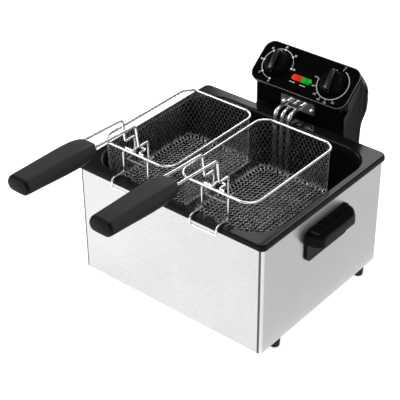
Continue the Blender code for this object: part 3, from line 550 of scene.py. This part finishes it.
def outward(verts, faces):
    """The same faces turned so that they all look out."""
    shape = bmesh.new()
    made = [shape.verts.new(v) for v in verts]
    for face in faces:
        shape.faces.new([made[i] for i in face])
    bmesh.ops.recalc_face_normals(shape, faces=shape.faces)
    verts = [v.co.copy() for v in shape.verts]
    shape.verts.index_update()
    faces = [tuple(v.index for v in face.verts) for face in shape.faces]
    shape.free()
    return verts, faces


def rounded_rectangle(low, high, corner, steps):
    left, right = low[0] + corner, high[0] - corner
    front, rear = low[1] + corner, high[1] - corner
    points = []
    for x, y, start in ((right, rear, 0), (left, rear, 90), (left, front, 180), (right, front, 270)):
        for k in range(steps + 1):
            angle = math.radians(start + 90 * k / steps)
            points.append((x + corner * math.cos(angle), y + corner * math.sin(angle)))
    return points


def circle(radius, sides, x0=0.0, y0=0.0):
    turns = [2 * math.pi * k / sides for k in range(sides)]
    return [(x0 + radius * math.cos(turn), y0 + radius * math.sin(turn)) for turn in turns]


MERGE_DISTANCE, FLAT_ANGLE = 0.00002, math.radians(0.6)


def refine(node, material, angle, bevel):
    """The CAD node's own shape with its flat faces merged, its edges rounded and its shading smooth."""
    source = frame["nodes"][node]
    shape = bmesh.new()
    shape.from_mesh(source.data)
    bmesh.ops.remove_doubles(shape, verts=shape.verts, dist=MERGE_DISTANCE)
    bmesh.ops.dissolve_limit(shape, angle_limit=FLAT_ANGLE, verts=shape.verts, edges=shape.edges)
    mesh = bpy.data.meshes.new(node + "_skin")
    shape.to_mesh(mesh)
    shape.free()
    piece = bpy.data.objects.new(node + "_skin", mesh)
    bpy.context.scene.collection.objects.link(piece)
    piece.data.materials.append(MATERIALS[material])
    shade(mesh, angle)
    if bevel:
        rounding = piece.modifiers.new("rounding", "BEVEL")
        rounding.width = bevel
        rounding.segments = 2
        rounding.limit_method = "ANGLE"
        rounding.angle_limit = math.radians(angle)
        rounding.use_clamp_overlap = True
    weights = piece.modifiers.new("weights", "WEIGHTED_NORMAL")
    weights.keep_sharp = not bevel
    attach(piece, source["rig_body"])
    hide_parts(node)


# ---------------------------------------------------------------- baskets

BASKET_X = {"basket_left": -0.0662, "basket_right": 0.0588}
BASKET_HALF_X = 0.0565
BASKET_FRONT_Y, BASKET_REAR_Y = 0.0180, 0.1882
BASKET_CORNER = 0.0180
BASKET_TOP, BASKET_FLOOR = 0.1951, 0.1226
BASKET_TAPER = 0.0006
RIM_WIRE, HOOK_WIRE, HANDLE_WIRE, LOOP_WIRE = 0.0015, 0.0014, 0.0017, 0.0012
TUB_WALL = 0.0014
GAP = 0.0003
RIM_TOP = 0.1627
WIRE_SIDES = 14
# The woven mesh: its wire's radius, how far it lies inside the tub's outer face, the pitch of its level
# loops and of its floor rows, and the length and half height of their waves.
MESH_WIRE, MESH_INSET, MESH_SIDES = 0.00030, 0.0007, 5
ROW_PITCH, FLOOR_PITCH = 0.0052, 0.00545
WAVE, WAVE_STEPS, WAVE_HEIGHT, FLOOR_SWAY = 0.00625, 8, 0.0016, 0.0014
CREST_CUT, LEAN = 1.35, MESH_WIRE * 0.45
# The tub's lower bend, and the doubled crimps on it, which start and sweep by angles in degrees.
BEND = 0.0060
CRIMP_WIRE, CRIMP_SIDES, CRIMP_SHIFT = 0.00055, 6, 0.25
CRIMP_START, CRIMP_SWEEP, CRIMP_STEPS = 20, 48, 5
# The floor rows stop short by this share of the depth that the tub's rounded corners take there.
CORNER_PULL = 0.8


def wave(phase):
    """A wave from -1 to 1 with flattened crests, as crimped wire has."""
    return max(-1.0, min(1.0, CREST_CUT * math.sin(phase)))


def outline_at(share, distance):
    """Point and outward direction of the mesh that far along its outline, share of the way down the tub."""
    shrink = BASKET_TAPER * share + MESH_INSET
    half, front, rear = BASKET_HALF_X - shrink, BASKET_FRONT_Y + shrink, BASKET_REAR_Y - shrink
    corner = BASKET_CORNER - MESH_INSET
    flat_x, flat_y = 2 * (half - corner), rear - front - 2 * corner
    quarter = math.pi / 2 * corner
    middle_y = (front + rear) / 2
    walls = ((half, middle_y, 0, flat_y), (0, rear, 90, flat_x), (-half, middle_y, 180, flat_y),
             (0, front, 270, flat_x))
    distance = (distance + flat_y / 2) % (2 * (flat_x + flat_y) + 4 * quarter)
    for x, y, heading, flat in walls:
        angle = math.radians(heading)
        out, along = Vector((math.cos(angle), math.sin(angle))), Vector((-math.sin(angle), math.cos(angle)))
        if distance < flat:
            return Vector((x, y)) + along * (distance - flat / 2), out
        distance -= flat
        if distance < quarter:
            turn = distance / corner
            centre = Vector((x, y)) + along * flat / 2 - out * corner
            spoke = out * math.cos(turn) + along * math.sin(turn)
            return centre + spoke * corner, spoke
        distance -= quarter
    # Only a rounding error at the very end of the outline comes this far.
    return Vector((half, middle_y)), Vector((1.0, 0.0))


def outline_length(share):
    """The outline's length, share of the way down the tub."""
    shrink = BASKET_TAPER * share + MESH_INSET
    corner = BASKET_CORNER - MESH_INSET
    wide = 2 * (BASKET_HALF_X - shrink - corner)
    deep = BASKET_REAR_Y - BASKET_FRONT_Y - 2 * shrink - 2 * corner
    return 2 * (wide + deep) + 2 * math.pi * corner


def mesh_strands():
    """Crimped wires of the woven basket: level loops round its walls, and rows along its floor."""
    top = BASKET_TOP - RIM_WIRE - MESH_WIRE
    wall_low = BASKET_FLOOR + BEND
    rows = int(round((top - wall_low) / ROW_PITCH))
    waves = int(round(outline_length(0.0) / WAVE))
    parts = []
    for row in range(rows + 1):
        height = top - WAVE_HEIGHT - row * (top - WAVE_HEIGHT - wall_low) / rows
        points = []
        for step in range(waves * WAVE_STEPS):
            phase = 2 * math.pi * step / WAVE_STEPS + math.pi * row
            z = height + WAVE_HEIGHT * wave(phase)
            share = (BASKET_TOP - z) / (BASKET_TOP - BASKET_FLOOR)
            spot, out = outline_at(share, outline_length(share) * step / (waves * WAVE_STEPS))
            lean = LEAN * math.cos(phase)
            points.append((spot.x + out.x * lean, spot.y + out.y * lean, z))
        parts.append(tube(points, MESH_WIRE, MESH_SIDES, True))
    return parts + floor_strands() + bend_loops(waves)


def bend_loops(waves):
    """The short doubled crimps round the tub's lower edge, where each wall wire turns under."""
    parts = []
    total = outline_length(1.0)
    floor = BASKET_FLOOR + MESH_INSET
    for k in range(waves):
        spot, out = outline_at(1.0, total * (k + CRIMP_SHIFT) / waves)
        points = []
        for step in range(CRIMP_STEPS + 1):
            angle = math.radians(CRIMP_START + CRIMP_SWEEP * step / CRIMP_STEPS)
            inset, rise = BEND * (1 - math.cos(angle)), BEND * (1 - math.sin(angle))
            points.append((spot.x - out.x * inset, spot.y - out.y * inset, floor + rise))
        parts.append(tube(points, CRIMP_WIRE, CRIMP_SIDES))
    return parts


def floor_strands():
    """Rows along Y over the floor, that climb the bends in front and behind, and the bends at both sides."""
    half = BASKET_HALF_X - BASKET_TAPER - MESH_INSET
    front, rear = BASKET_FRONT_Y + BASKET_TAPER + MESH_INSET, BASKET_REAR_Y - BASKET_TAPER - MESH_INSET
    floor = BASKET_FLOOR + MESH_INSET
    span = 2 * (half - BEND)
    rows = int(round(span / FLOOR_PITCH))
    parts = []
    for row in range(-1, rows + 2):
        across = -half + BEND + row * span / rows
        inner = min(max(across, -half + BEND), half - BEND)
        side_turn = abs(across - inner) / BEND
        sign = 1.0 if across > inner else -1.0
        corner = max(0.0, BASKET_CORNER - (half - abs(inner)))
        pull = BASKET_CORNER - math.sqrt(max(BASKET_CORNER ** 2 - corner ** 2, 0.0))
        low_y, high_y = front + pull * CORNER_PULL, rear - pull * CORNER_PULL
        flat = high_y - low_y - 2 * BEND
        climb = math.pi / 2 * BEND
        total = flat + 2 * climb
        steps = int(round(total / WAVE)) * WAVE_STEPS
        points = []
        for step in range(steps + 1):
            along = total * step / steps - climb
            phase = 2 * math.pi * step / WAVE_STEPS + math.pi * row
            sway = FLOOR_SWAY * wave(phase)
            turn, y = 0.0, low_y + BEND + along
            if along < 0:
                turn, y = -along / BEND, low_y + BEND - BEND * math.sin(-along / BEND)
            elif along > flat:
                turn, y = (along - flat) / BEND, high_y - BEND + BEND * math.sin((along - flat) / BEND)
            rise = BEND * (1 - math.cos(min(turn, math.pi / 2)))
            x, lift = across + sway, 0.0
            if side_turn:
                side = side_turn + sway / BEND * sign
                x, lift = inner + sign * BEND * math.sin(side), BEND * (1 - math.cos(side))
            points.append((x, y, floor + max(rise, lift) + LEAN * math.cos(phase)))
        parts.append(tube(points, MESH_WIRE, MESH_SIDES))
    return parts


def front_wall_y(z):
    return BASKET_FRONT_Y + BASKET_TAPER * (BASKET_TOP - z) / (BASKET_TOP - BASKET_FLOOR)


# The hook, the rim bracket and the pivot loops. Their X is from the basket's own middle, and the
# reaches are from the handle's wires and pivot.
HOOK_LEFT_X, HOOK_RIGHT_X, HOOK_Y, HOOK_LOW_Z = -0.0165, 0.0234, -0.0064, 0.1524
HOOK_AIR = 0.0002
BRACKET_HALF_X, BRACKET_NEAR_Y, BRACKET_FAR_Y = 0.0150, 0.0190, 0.0314
BRACKET_DIP_X, BRACKET_LEFT_X, BRACKET_RIGHT_X = -0.0018, -0.0050, 0.0074
LOOP_REACH_X, LOOP_REACH_Y, LOOP_AIR = 0.0048, 0.0062, 0.0006


def make_basket(name):
    """One basket's rim, woven tub, drain hook, rim bracket, pivot loops and handle."""
    shift = Matrix.Translation((BASKET_X[name], 0.0, 0.0))

    def wire(suffix, route, radius, material="bright_steel"):
        verts, faces = tube(place(filleted(route, 8), shift), radius, WIRE_SIDES)
        node = name + suffix
        add_piece(node + "_wire", verts, faces, material, name, (node,), smooth=60)

    corners = (-BASKET_HALF_X, BASKET_FRONT_Y), (BASKET_HALF_X, BASKET_REAR_Y)
    rim = [(x, y, BASKET_TOP) for x, y in rounded_rectangle(*corners, BASKET_CORNER, 14)]
    verts, faces = tube(place(rim, shift), RIM_WIRE, WIRE_SIDES, True)
    add_piece(name + "_rim", verts, faces, "bright_steel", name,
              (name + "_rim_wire",), smooth=60)
    verts, faces = join(mesh_strands())
    add_piece(name + "_woven_mesh", place(verts, shift), faces, "mesh_steel", name,
              (name + "_mesh_tub",), smooth=80)

    rest = RIM_TOP + HOOK_WIRE + GAP
    lift = HOOK_WIRE + GAP + HOOK_AIR
    top = BASKET_TOP - RIM_WIRE - 2 * GAP

    def leg(x):
        return [(x, front_wall_y(top) - lift, top, 0), (x, front_wall_y(rest) - lift, rest, 0.003),
                (x, HOOK_Y, rest, 0.005), (x, HOOK_Y, HOOK_LOW_Z, 0.003)]

    wire("_hook", leg(HOOK_LEFT_X) + leg(HOOK_RIGHT_X)[::-1], HOOK_WIRE)
    z, near, far = BASKET_TOP + RIM_WIRE + HOOK_WIRE + GAP, BRACKET_NEAR_Y, BRACKET_FAR_Y
    wire("_bracket", [(-BRACKET_HALF_X, near, z, 0), (BRACKET_DIP_X, near, z, 0.0015),
                      (BRACKET_LEFT_X, far, z, 0.003), (BRACKET_RIGHT_X, far, z, 0.003),
                      (BRACKET_RIGHT_X, near, z, 0.002), (BRACKET_HALF_X, near, z, 0)], HOOK_WIRE)
    x, near = HANDLE_HALF_GAP + LOOP_REACH_X, front_wall_y(PIVOT_Z) + TUB_WALL + LOOP_WIRE + 2 * GAP
    far, half = PIVOT_Y + LOOP_REACH_Y, HANDLE_WIRE + LOOP_WIRE + LOOP_AIR
    low, high, turn = PIVOT_Z - half, PIVOT_Z + half, half * 0.98
    loop = [(x, near, low, 0.002), (x, far, low, turn), (x, far, high, turn), (x, near, high, 0)]
    mirrored = [(-x, *rest_of) for x, *rest_of in reversed(loop)]
    wire("_pivot_loops", mirrored + loop, LOOP_WIRE, "loop_steel")
    make_handle(name, shift)


# ---------------------------------------------------------------- folding handles

HANDLE_HALF_GAP = 0.0109
PIVOT_Y, PIVOT_Z = 0.0320, 0.1840
CRANK_Z, ARM_Z = 0.2105, 0.2426
LEG_LOW_Y, LEG_TOP_Y = 0.0150, 0.0107
ARM_RISE = math.radians(2.1)
ARM_DRIFT = 0.0130
PIVOT_END_X, WIRE_IN_GRIP = 0.0070, 0.045
GRIP_INNER_Y = -0.0530
# Stations along the grip and its end cap: distance from the grip's inner end, width share, top, bottom.
GRIP_STATIONS = [
    (0.0000, 0.26, 0.2452, 0.2402), (0.0010, 0.50, 0.2466, 0.2384), (0.0030, 0.70, 0.2482, 0.2362),
    (0.0065, 0.86, 0.2497, 0.2341), (0.0110, 0.96, 0.2508, 0.2325), (0.0165, 1.03, 0.2517, 0.2314),
    (0.0240, 1.07, 0.2526, 0.2307), (0.0340, 1.08, 0.2531, 0.2304), (0.0500, 1.06, 0.2534, 0.2305),
    (0.0700, 1.03, 0.2534, 0.2315), (0.0900, 1.01, 0.2533, 0.2328), (0.1122, 1.00, 0.2532, 0.2341),
    (0.1126, 0.98, 0.2530, 0.2343)]
CAP_STATIONS = [
    (0.1100, 0.90, 0.2520, 0.2353), (0.1132, 0.90, 0.2520, 0.2353), (0.1133, 0.98, 0.2530, 0.2343),
    (0.1136, 1.00, 0.2532, 0.2342), (0.1160, 0.98, 0.2530, 0.2345), (0.1168, 0.94, 0.2525, 0.2351),
    (0.1170, 0.90, 0.2521, 0.2355)]
# The right half of the grip's section from top to bottom: metres across, and height from 1 down to about -1.
GRIP_SECTION = [
    (0.0000, 1.000), (0.0040, 0.996), (0.0080, 0.984), (0.0108, 0.962), (0.0119, 0.928), (0.0128, 0.835),
    (0.0138, 0.640), (0.0150, 0.400), (0.0160, 0.140), (0.0162, -0.100), (0.0158, -0.360),
    (0.0149, -0.600), (0.0133, -0.820), (0.0110, -0.950), (0.0080, -1.000), (0.0040, -1.010),
    (0.0000, -1.012)]


def drift(y):
    """How far the handle leans to one side, that far out."""
    return (y - LEG_TOP_Y) * ARM_DRIFT


def make_handle(name, shift):
    """The two bent wires, the moulded grip over their ends and the grip's end cap."""
    body = "handle_" + name.split("_")[1]
    end_y = GRIP_INNER_Y - WIRE_IN_GRIP
    end_z = ARM_Z + (LEG_TOP_Y - end_y) * math.tan(ARM_RISE)
    for side_name, side in (("left", -1), ("right", 1)):
        x = side * HANDLE_HALF_GAP
        route = [(x + side * PIVOT_END_X, PIVOT_Y, PIVOT_Z, 0), (x, PIVOT_Y, PIVOT_Z, 0.0022),
                 (x, PIVOT_Y, CRANK_Z, 0.0030), (x, LEG_LOW_Y, CRANK_Z, 0.0030),
                 (x, LEG_TOP_Y, ARM_Z, 0.0050), (x + drift(end_y), end_y, end_z, 0)]
        verts, faces = tube(place(filleted(route, 8), shift), HANDLE_WIRE, WIRE_SIDES)
        node = name + "_handle_wire_" + side_name
        add_piece(node + "_rod", verts, faces, "bright_steel", body, (node,), smooth=60)
    verts, faces = grip_part(GRIP_STATIONS, shift)
    add_piece(name + "_moulded_grip", verts, faces, "grip_black", body,
              (name + "_grip",), smooth=50)
    verts, faces = grip_part(CAP_STATIONS, shift)
    add_piece(name + "_grip_cap", verts, faces, "cap_black", body, smooth=50)


def grip_part(stations, shift):
    """The grip's section lofted through stations of (distance, width share, top, bottom)."""
    section = GRIP_SECTION + [(-x, z) for x, z in reversed(GRIP_SECTION[1:-1])]
    rings = []
    for along, wide, top, bottom in stations:
        y = GRIP_INNER_Y - along
        middle, half = (top + bottom) / 2, (top - bottom) / 2
        rings.append(place([(x * wide + drift(y), y, middle + z * half) for x, z in section], shift))
    return outward(*loft(rings))


# ---------------------------------------------------------------- control panel prints

PANEL_TILT = math.radians(38.7)
PANEL_Y, PANEL_Z = 0.2816, 0.2173
DIAL_X = 0.0446
FIGURE_BOLD = 0.00006
PANEL = Matrix.Translation((0.0, PANEL_Y, PANEL_Z)) @ Matrix.Rotation(PANEL_TILT, 4, "X")
# The prints are thin solids between these two heights above the panel.
PRINT_LOW, PRINT_HIGH = 0.00002, 0.00009


def slab(outline, low=PRINT_LOW, high=PRINT_HIGH):
    """A thin flat solid over a closed outline on the panel."""
    return loft([[(x, y, low) for x, y in outline], [(x, y, high) for x, y in outline]])


def ring_part(x0, radius, width, start, end, steps):
    """An arc on the panel. Angles are clock angles in degrees: 0 at the top and 90 to the right."""
    outer, inner = [], []
    for k in range(steps + 1):
        angle = math.radians(start + (end - start) * k / steps)
        way = (math.sin(angle), math.cos(angle))
        outer.append((x0 + way[0] * (radius + width / 2), way[1] * (radius + width / 2)))
        inner.append((x0 + way[0] * (radius - width / 2), way[1] * (radius - width / 2)))
    return slab(outer + inner[::-1])


def tick(x0, radius, length, width, clock):
    """A short line on the panel that points at the dial's middle."""
    angle = math.radians(clock)
    way, across = Vector((math.sin(angle), math.cos(angle))), Vector((math.cos(angle), -math.sin(angle)))
    points = []
    for reach, side in ((radius, -1), (radius + length, -1), (radius + length, 1), (radius, 1)):
        spot = Vector((x0, 0.0)) + way * reach + across * side * width / 2
        points.append((spot.x, spot.y))
    return slab(points)


def label(text, x0, y0, size):
    """Generic numbers as thin flat solids, centred at a point on the panel."""
    data = bpy.data.curves.new("label", "FONT")
    data.body = text
    data.size = size
    data.align_x, data.align_y = "CENTER", "CENTER"
    data.offset = FIGURE_BOLD
    data.resolution_u = 2
    data.extrude = (PRINT_HIGH - PRINT_LOW) / 2
    holder = bpy.data.objects.new("label", data)
    bpy.context.scene.collection.objects.link(holder)
    bpy.context.view_layer.update()
    mesh = bpy.data.meshes.new_from_object(holder.evaluated_get(bpy.context.evaluated_depsgraph_get()))
    middle = (PRINT_HIGH + PRINT_LOW) / 2
    verts = [(v.co.x + x0, v.co.y + y0, v.co.z + middle) for v in mesh.vertices]
    faces = [tuple(p.vertices) for p in mesh.polygons]
    bpy.data.objects.remove(holder)
    bpy.data.curves.remove(data)
    bpy.data.meshes.remove(mesh)
    return verts, faces


def clock_spot(x0, radius, clock):
    angle = math.radians(clock)
    return x0 + radius * math.sin(angle), radius * math.cos(angle)


TIMER_CLOCKS = [180, 225, 270, 315, 360, 405, 450]
TIMER_THIN = (180, 405)
TIMER_GAP = 4
HEAT_CLOCKS = [(152, "130"), (176, "150"), (198, "160"), (219, "170"), (246, "180"), (273, "190")]
HEAT_START, HEAT_END = 22, 273
OFF_CLOCK = 11
RING_RADIUS = 0.0225
THIN_LINE, WIDE_LINE, HEAT_LINE, TICK_LINE = 0.00042, 0.00075, 0.0011, 0.0008
DOT_RADIUS, TICK_LENGTH, OFF_TICK_IN, OFF_TICK_LENGTH = 0.00150, 0.0028, 0.0008, 0.0038
# How far outside its ring each kind of figure is, and how tall it is.
FIRST_FIGURE_OUT, TIMER_FIGURE_OUT, TIMER_FIGURE = 0.0040, 0.0042, 0.0040
HEAT_FIGURE_OUT, HEAT_FIGURE, OFF_FIGURE_OUT, OFF_FIGURE = 0.0052, 0.0032, 0.0050, 0.0036
# Two plain bars under the pilot pill, where the real panel has words.
BARS = ((-0.0115, -0.0163), (0.0055, -0.0168))
BAR_HALF_X, BAR_HALF_Y, BAR_ROUND = 0.0045, 0.0006, 0.0005


def make_prints():
    """The timer's arcs, dots and figures, and the thermostat's ring, ticks and figures."""
    arcs, dots = [], []
    for first, second in zip(TIMER_CLOCKS, TIMER_CLOCKS[1:]):
        width = THIN_LINE if first in TIMER_THIN else WIDE_LINE
        arcs.append(ring_part(-DIAL_X, RING_RADIUS, width, first + TIMER_GAP, second - TIMER_GAP, 10))
    for k, clock in enumerate(TIMER_CLOCKS):
        dots.append(slab(circle(DOT_RADIUS, 16, *clock_spot(-DIAL_X, RING_RADIUS, clock))))
        spot = clock_spot(-DIAL_X, RING_RADIUS + (TIMER_FIGURE_OUT if k else FIRST_FIGURE_OUT), clock)
        dots.append(label(str(5 * k), *spot, TIMER_FIGURE))
    ticks = [ring_part(DIAL_X, RING_RADIUS, HEAT_LINE, HEAT_START, HEAT_END, 60),
             tick(DIAL_X, RING_RADIUS - OFF_TICK_IN, OFF_TICK_LENGTH, TICK_LINE, OFF_CLOCK)]
    figures = []
    for clock, text in HEAT_CLOCKS:
        ticks.append(tick(DIAL_X, RING_RADIUS, TICK_LENGTH, TICK_LINE, clock))
        figures.append(label(text, *clock_spot(DIAL_X, RING_RADIUS + HEAT_FIGURE_OUT, clock), HEAT_FIGURE))
    figures.append(label("0", *clock_spot(DIAL_X, RING_RADIUS + OFF_FIGURE_OUT, OFF_CLOCK), OFF_FIGURE))
    for x, y in BARS:
        low, high = (x - BAR_HALF_X, y - BAR_HALF_Y), (x + BAR_HALF_X, y + BAR_HALF_Y)
        figures.append(slab(rounded_rectangle(low, high, BAR_ROUND, 3)))
    for name, parts, look in (("timer_scale", arcs, "print_white"), ("timer_numbers", dots, "print_white"),
                              ("heat_scale", ticks, "print_grey"), ("heat_numbers", figures, "print_grey")):
        verts, faces = join(parts)
        add_piece(name, place(verts, PANEL), faces, look, "head", smooth=30)


PANEL_HALF_X, PANEL_HALF_Y, PANEL_ROUND = 0.0760, 0.0302, 0.0141
EDGE_LOW, EDGE_RADIUS = -0.0003, 0.00040


def make_panel_highlight_bead():
    """A thin grey bead round the panel: a painted highlight where its rim catches light."""
    corners = (-PANEL_HALF_X, -PANEL_HALF_Y), (PANEL_HALF_X, PANEL_HALF_Y)
    outline = [(x, y, EDGE_LOW) for x, y in rounded_rectangle(*corners, PANEL_ROUND, 10)]
    verts, faces = tube(place(outline, PANEL), EDGE_RADIUS, 8, True)
    add_piece("panel_edge", verts, faces, "painted_edge_highlight", "head", smooth=60)


# ---------------------------------------------------------------- heating element

TUBE_RADIUS, BULB_RADIUS = 0.0029, 0.0024
TUBE_LEFT_X, TUBE_BULB_X, TUBE_RIGHT_X = -0.0122, -0.0014, 0.0098
TUBE_INNER_Y, RISER_Y, TUBE_EXIT_Z, BULB_LOW_Z = 0.2730, 0.2345, 0.1790, 0.0800
ELEMENT_Z, ELEMENT_OUT_X, ELEMENT_IN_X = 0.0620, 0.1080, 0.0400
ELEMENT_FRONT_Y, ELEMENT_MIDDLE_Y, ELEMENT_REAR_Y = 0.0350, 0.1850, 0.2200
TUBE_BEND, RISER_BEND, REAR_BEND, LOOP_BEND = 0.0110, 0.0080, 0.0075, 0.0160


def make_element():
    """The bent heater tube and the straight tube of the thermostat's bulb between its risers."""

    def riser(x, low):
        return [(x, TUBE_INNER_Y, TUBE_EXIT_Z, 0), (x, RISER_Y, TUBE_EXIT_Z, TUBE_BEND),
                (x, RISER_Y, low, RISER_BEND)]

    def heater_riser(x):
        return riser(x, ELEMENT_Z) + [(x, ELEMENT_REAR_Y, ELEMENT_Z, REAR_BEND)]

    half = [(ELEMENT_IN_X, ELEMENT_MIDDLE_Y), (ELEMENT_IN_X, ELEMENT_FRONT_Y),
            (ELEMENT_OUT_X, ELEMENT_FRONT_Y), (ELEMENT_OUT_X, ELEMENT_REAR_Y)]
    whole = [(-x, y) for x, y in reversed(half)] + half
    loops = [(x, y, ELEMENT_Z, LOOP_BEND) for x, y in whole]
    route = heater_riser(TUBE_LEFT_X) + loops + heater_riser(TUBE_RIGHT_X)[::-1]
    bulb = riser(TUBE_BULB_X, BULB_LOW_Z)
    for node, path, radius in (("heating_element", route, TUBE_RADIUS),
                               ("thermostat_bulb", bulb, BULB_RADIUS)):
        verts, faces = tube(place(filleted(path, 10)), radius, 20)
        add_piece(node + "_tube", verts, faces, "tube_steel", "head", (node,), smooth=60)


# ---------------------------------------------------------------- knobs

KNOB_RADIUS = 0.0178
KNOB_ANGLE = math.radians(7)
# A knob's outline from its foot to its top: radius, and height above the panel.
KNOB_PROFILE = [(0.0170, 0.0006), (0.0176, 0.0008), (0.0178, 0.0014), (0.0178, 0.0030), (0.0175, 0.0037),
                (0.0168, 0.0042), (0.0161, 0.0060), (0.0154, 0.0078), (0.0147, 0.0086), (0.0138, 0.0090)]
# The raised bar across a knob: its half width, how far each end stays inside the rim, and its
# (share of width, height) stations. Its length shrinks by less than its width.
BAR_WIDTH, BAR_CORNER, BAR_NEAR_IN, BAR_FAR_IN = 0.0042, 0.0040, 0.0018, 0.0010
BAR_STATIONS = [(1.0, 0.0070), (1.0, 0.0100), (0.98, 0.0114), (0.93, 0.0130), (0.86, 0.0146),
                (0.78, 0.0155), (0.66, 0.0160)]
POINTER_X, POINTER_HALF_X, POINTER_ROUND = 0.0030, 0.00055, 0.0003
POINTER_START, POINTER_END, POINTER_LOW, POINTER_HIGH = 0.0116, 0.0163, 0.0094, 0.01065


def make_knob(name, side, body):
    """A round cap with a raised bar across it and two short white lines beside the bar's far end."""
    spot = PANEL @ Matrix.Translation((side * DIAL_X, 0.0, 0.0))
    turn = Matrix.Rotation(KNOB_ANGLE, 4, "Z")

    def turned(points):
        return [turn @ Vector(p) for p in points]

    verts, faces = loft([[(x, y, z) for x, y in circle(radius, 64)] for radius, z in KNOB_PROFILE])
    verts, faces = outward(place(verts, spot), faces)
    add_piece(name + "_cap", verts, faces, "knob_black", body, (name,), smooth=36)
    rings = []
    for share, z in BAR_STATIONS:
        length = 0.4 + 0.6 * share
        near = (-BAR_WIDTH * share, (-KNOB_RADIUS + BAR_NEAR_IN) * length)
        far = (BAR_WIDTH * share, (KNOB_RADIUS - BAR_FAR_IN) * length)
        rings.append(turned([(x, y, z) for x, y in rounded_rectangle(near, far, BAR_CORNER * share, 6)]))
    verts, faces = loft(rings)
    verts, faces = outward(place(verts, spot), faces)
    add_piece(name + "_bar", verts, faces, "knob_gloss", body, smooth=36)
    marks = []
    for x in (-POINTER_X, POINTER_X):
        corners = (x - POINTER_HALF_X, POINTER_START), (x + POINTER_HALF_X, POINTER_END)
        verts, faces = slab(rounded_rectangle(*corners, POINTER_ROUND, 3), POINTER_LOW, POINTER_HIGH)
        marks.append((turned(verts), faces))
    verts, faces = join(marks)
    add_piece(name + "_pointer", place(verts, spot), faces, "print_white", body, smooth=30)


# ---------------------------------------------------------------- everything together

# Each refined CAD node's looks, material slot, smoothing angle and edge rounding.
REFINED = {
    "casing_shell": ("brushed_steel", "brushed_steel", 30, 0.0002),
    "base_plate": ("sheet_steel", "brushed_steel", 30, 0.0),
    "oil_pot": ("black_enamel", "black_enamel", 42, 0.0),
    "head_housing": ("gloss_black", "gloss_black", 34, 0.0),
    "head_back_cover": ("gloss_black", "gloss_black", 34, 0.0),
    "control_panel": ("panel_black", "gloss_black", 30, 0.0),
    "indicator_lens_red": ("red_lens", "red_lens", 30, 0.0003),
    "indicator_lens_green": ("green_lens", "green_lens", 30, 0.0003),
    "carry_handle_left": ("handle_black", "matte_black", 50, 0.0),
    "carry_handle_right": ("handle_black", "matte_black", 50, 0.0),
    "handle_backing_left": ("sheet_steel", None, 30, 0.0),
    "handle_backing_right": ("sheet_steel", None, 30, 0.0),
    "element_bracket": ("plate_steel", "bright_steel", 30, 0.0002),
    "element_clip": ("plate_steel", "bright_steel", 30, 0.0002),
    "reset_button": ("red_lens", "red_lens", 30, 0.0003),
    "power_inlet": ("matte_black", "matte_black", 30, 0.0003),
}


# The looks of a CAD node that keeps its own shape, by a word in its name. The rest are matte black.
LOOKS = {"foot_": "rubber", "screw": "bright_steel", "shaft": "bright_steel", "rail": "sheet_steel",
         "pin_": "brass", "pilot_lamp": "lamp_glass", "unit": "beige_plastic", "terminal": "beige_plastic"}


def material_for(node):
    looks = [look for word, look in LOOKS.items() if word in node]
    return MATERIALS[looks[0] if looks else "matte_black"]


for basket in BASKET_X:
    make_basket(basket)
for node, (look, slot, angle, bevel) in REFINED.items():
    refine(node, look, angle, bevel)
make_knob("timer_knob", -1, "timer_dial")
make_knob("thermostat_knob", 1, "thermostat_dial")
make_element()
make_prints()
make_panel_highlight_bead()
for node, source in frame["nodes"].items():
    source.data.materials.clear()
    source.data.materials.append(material_for(node))
make_stage()
make_studio()
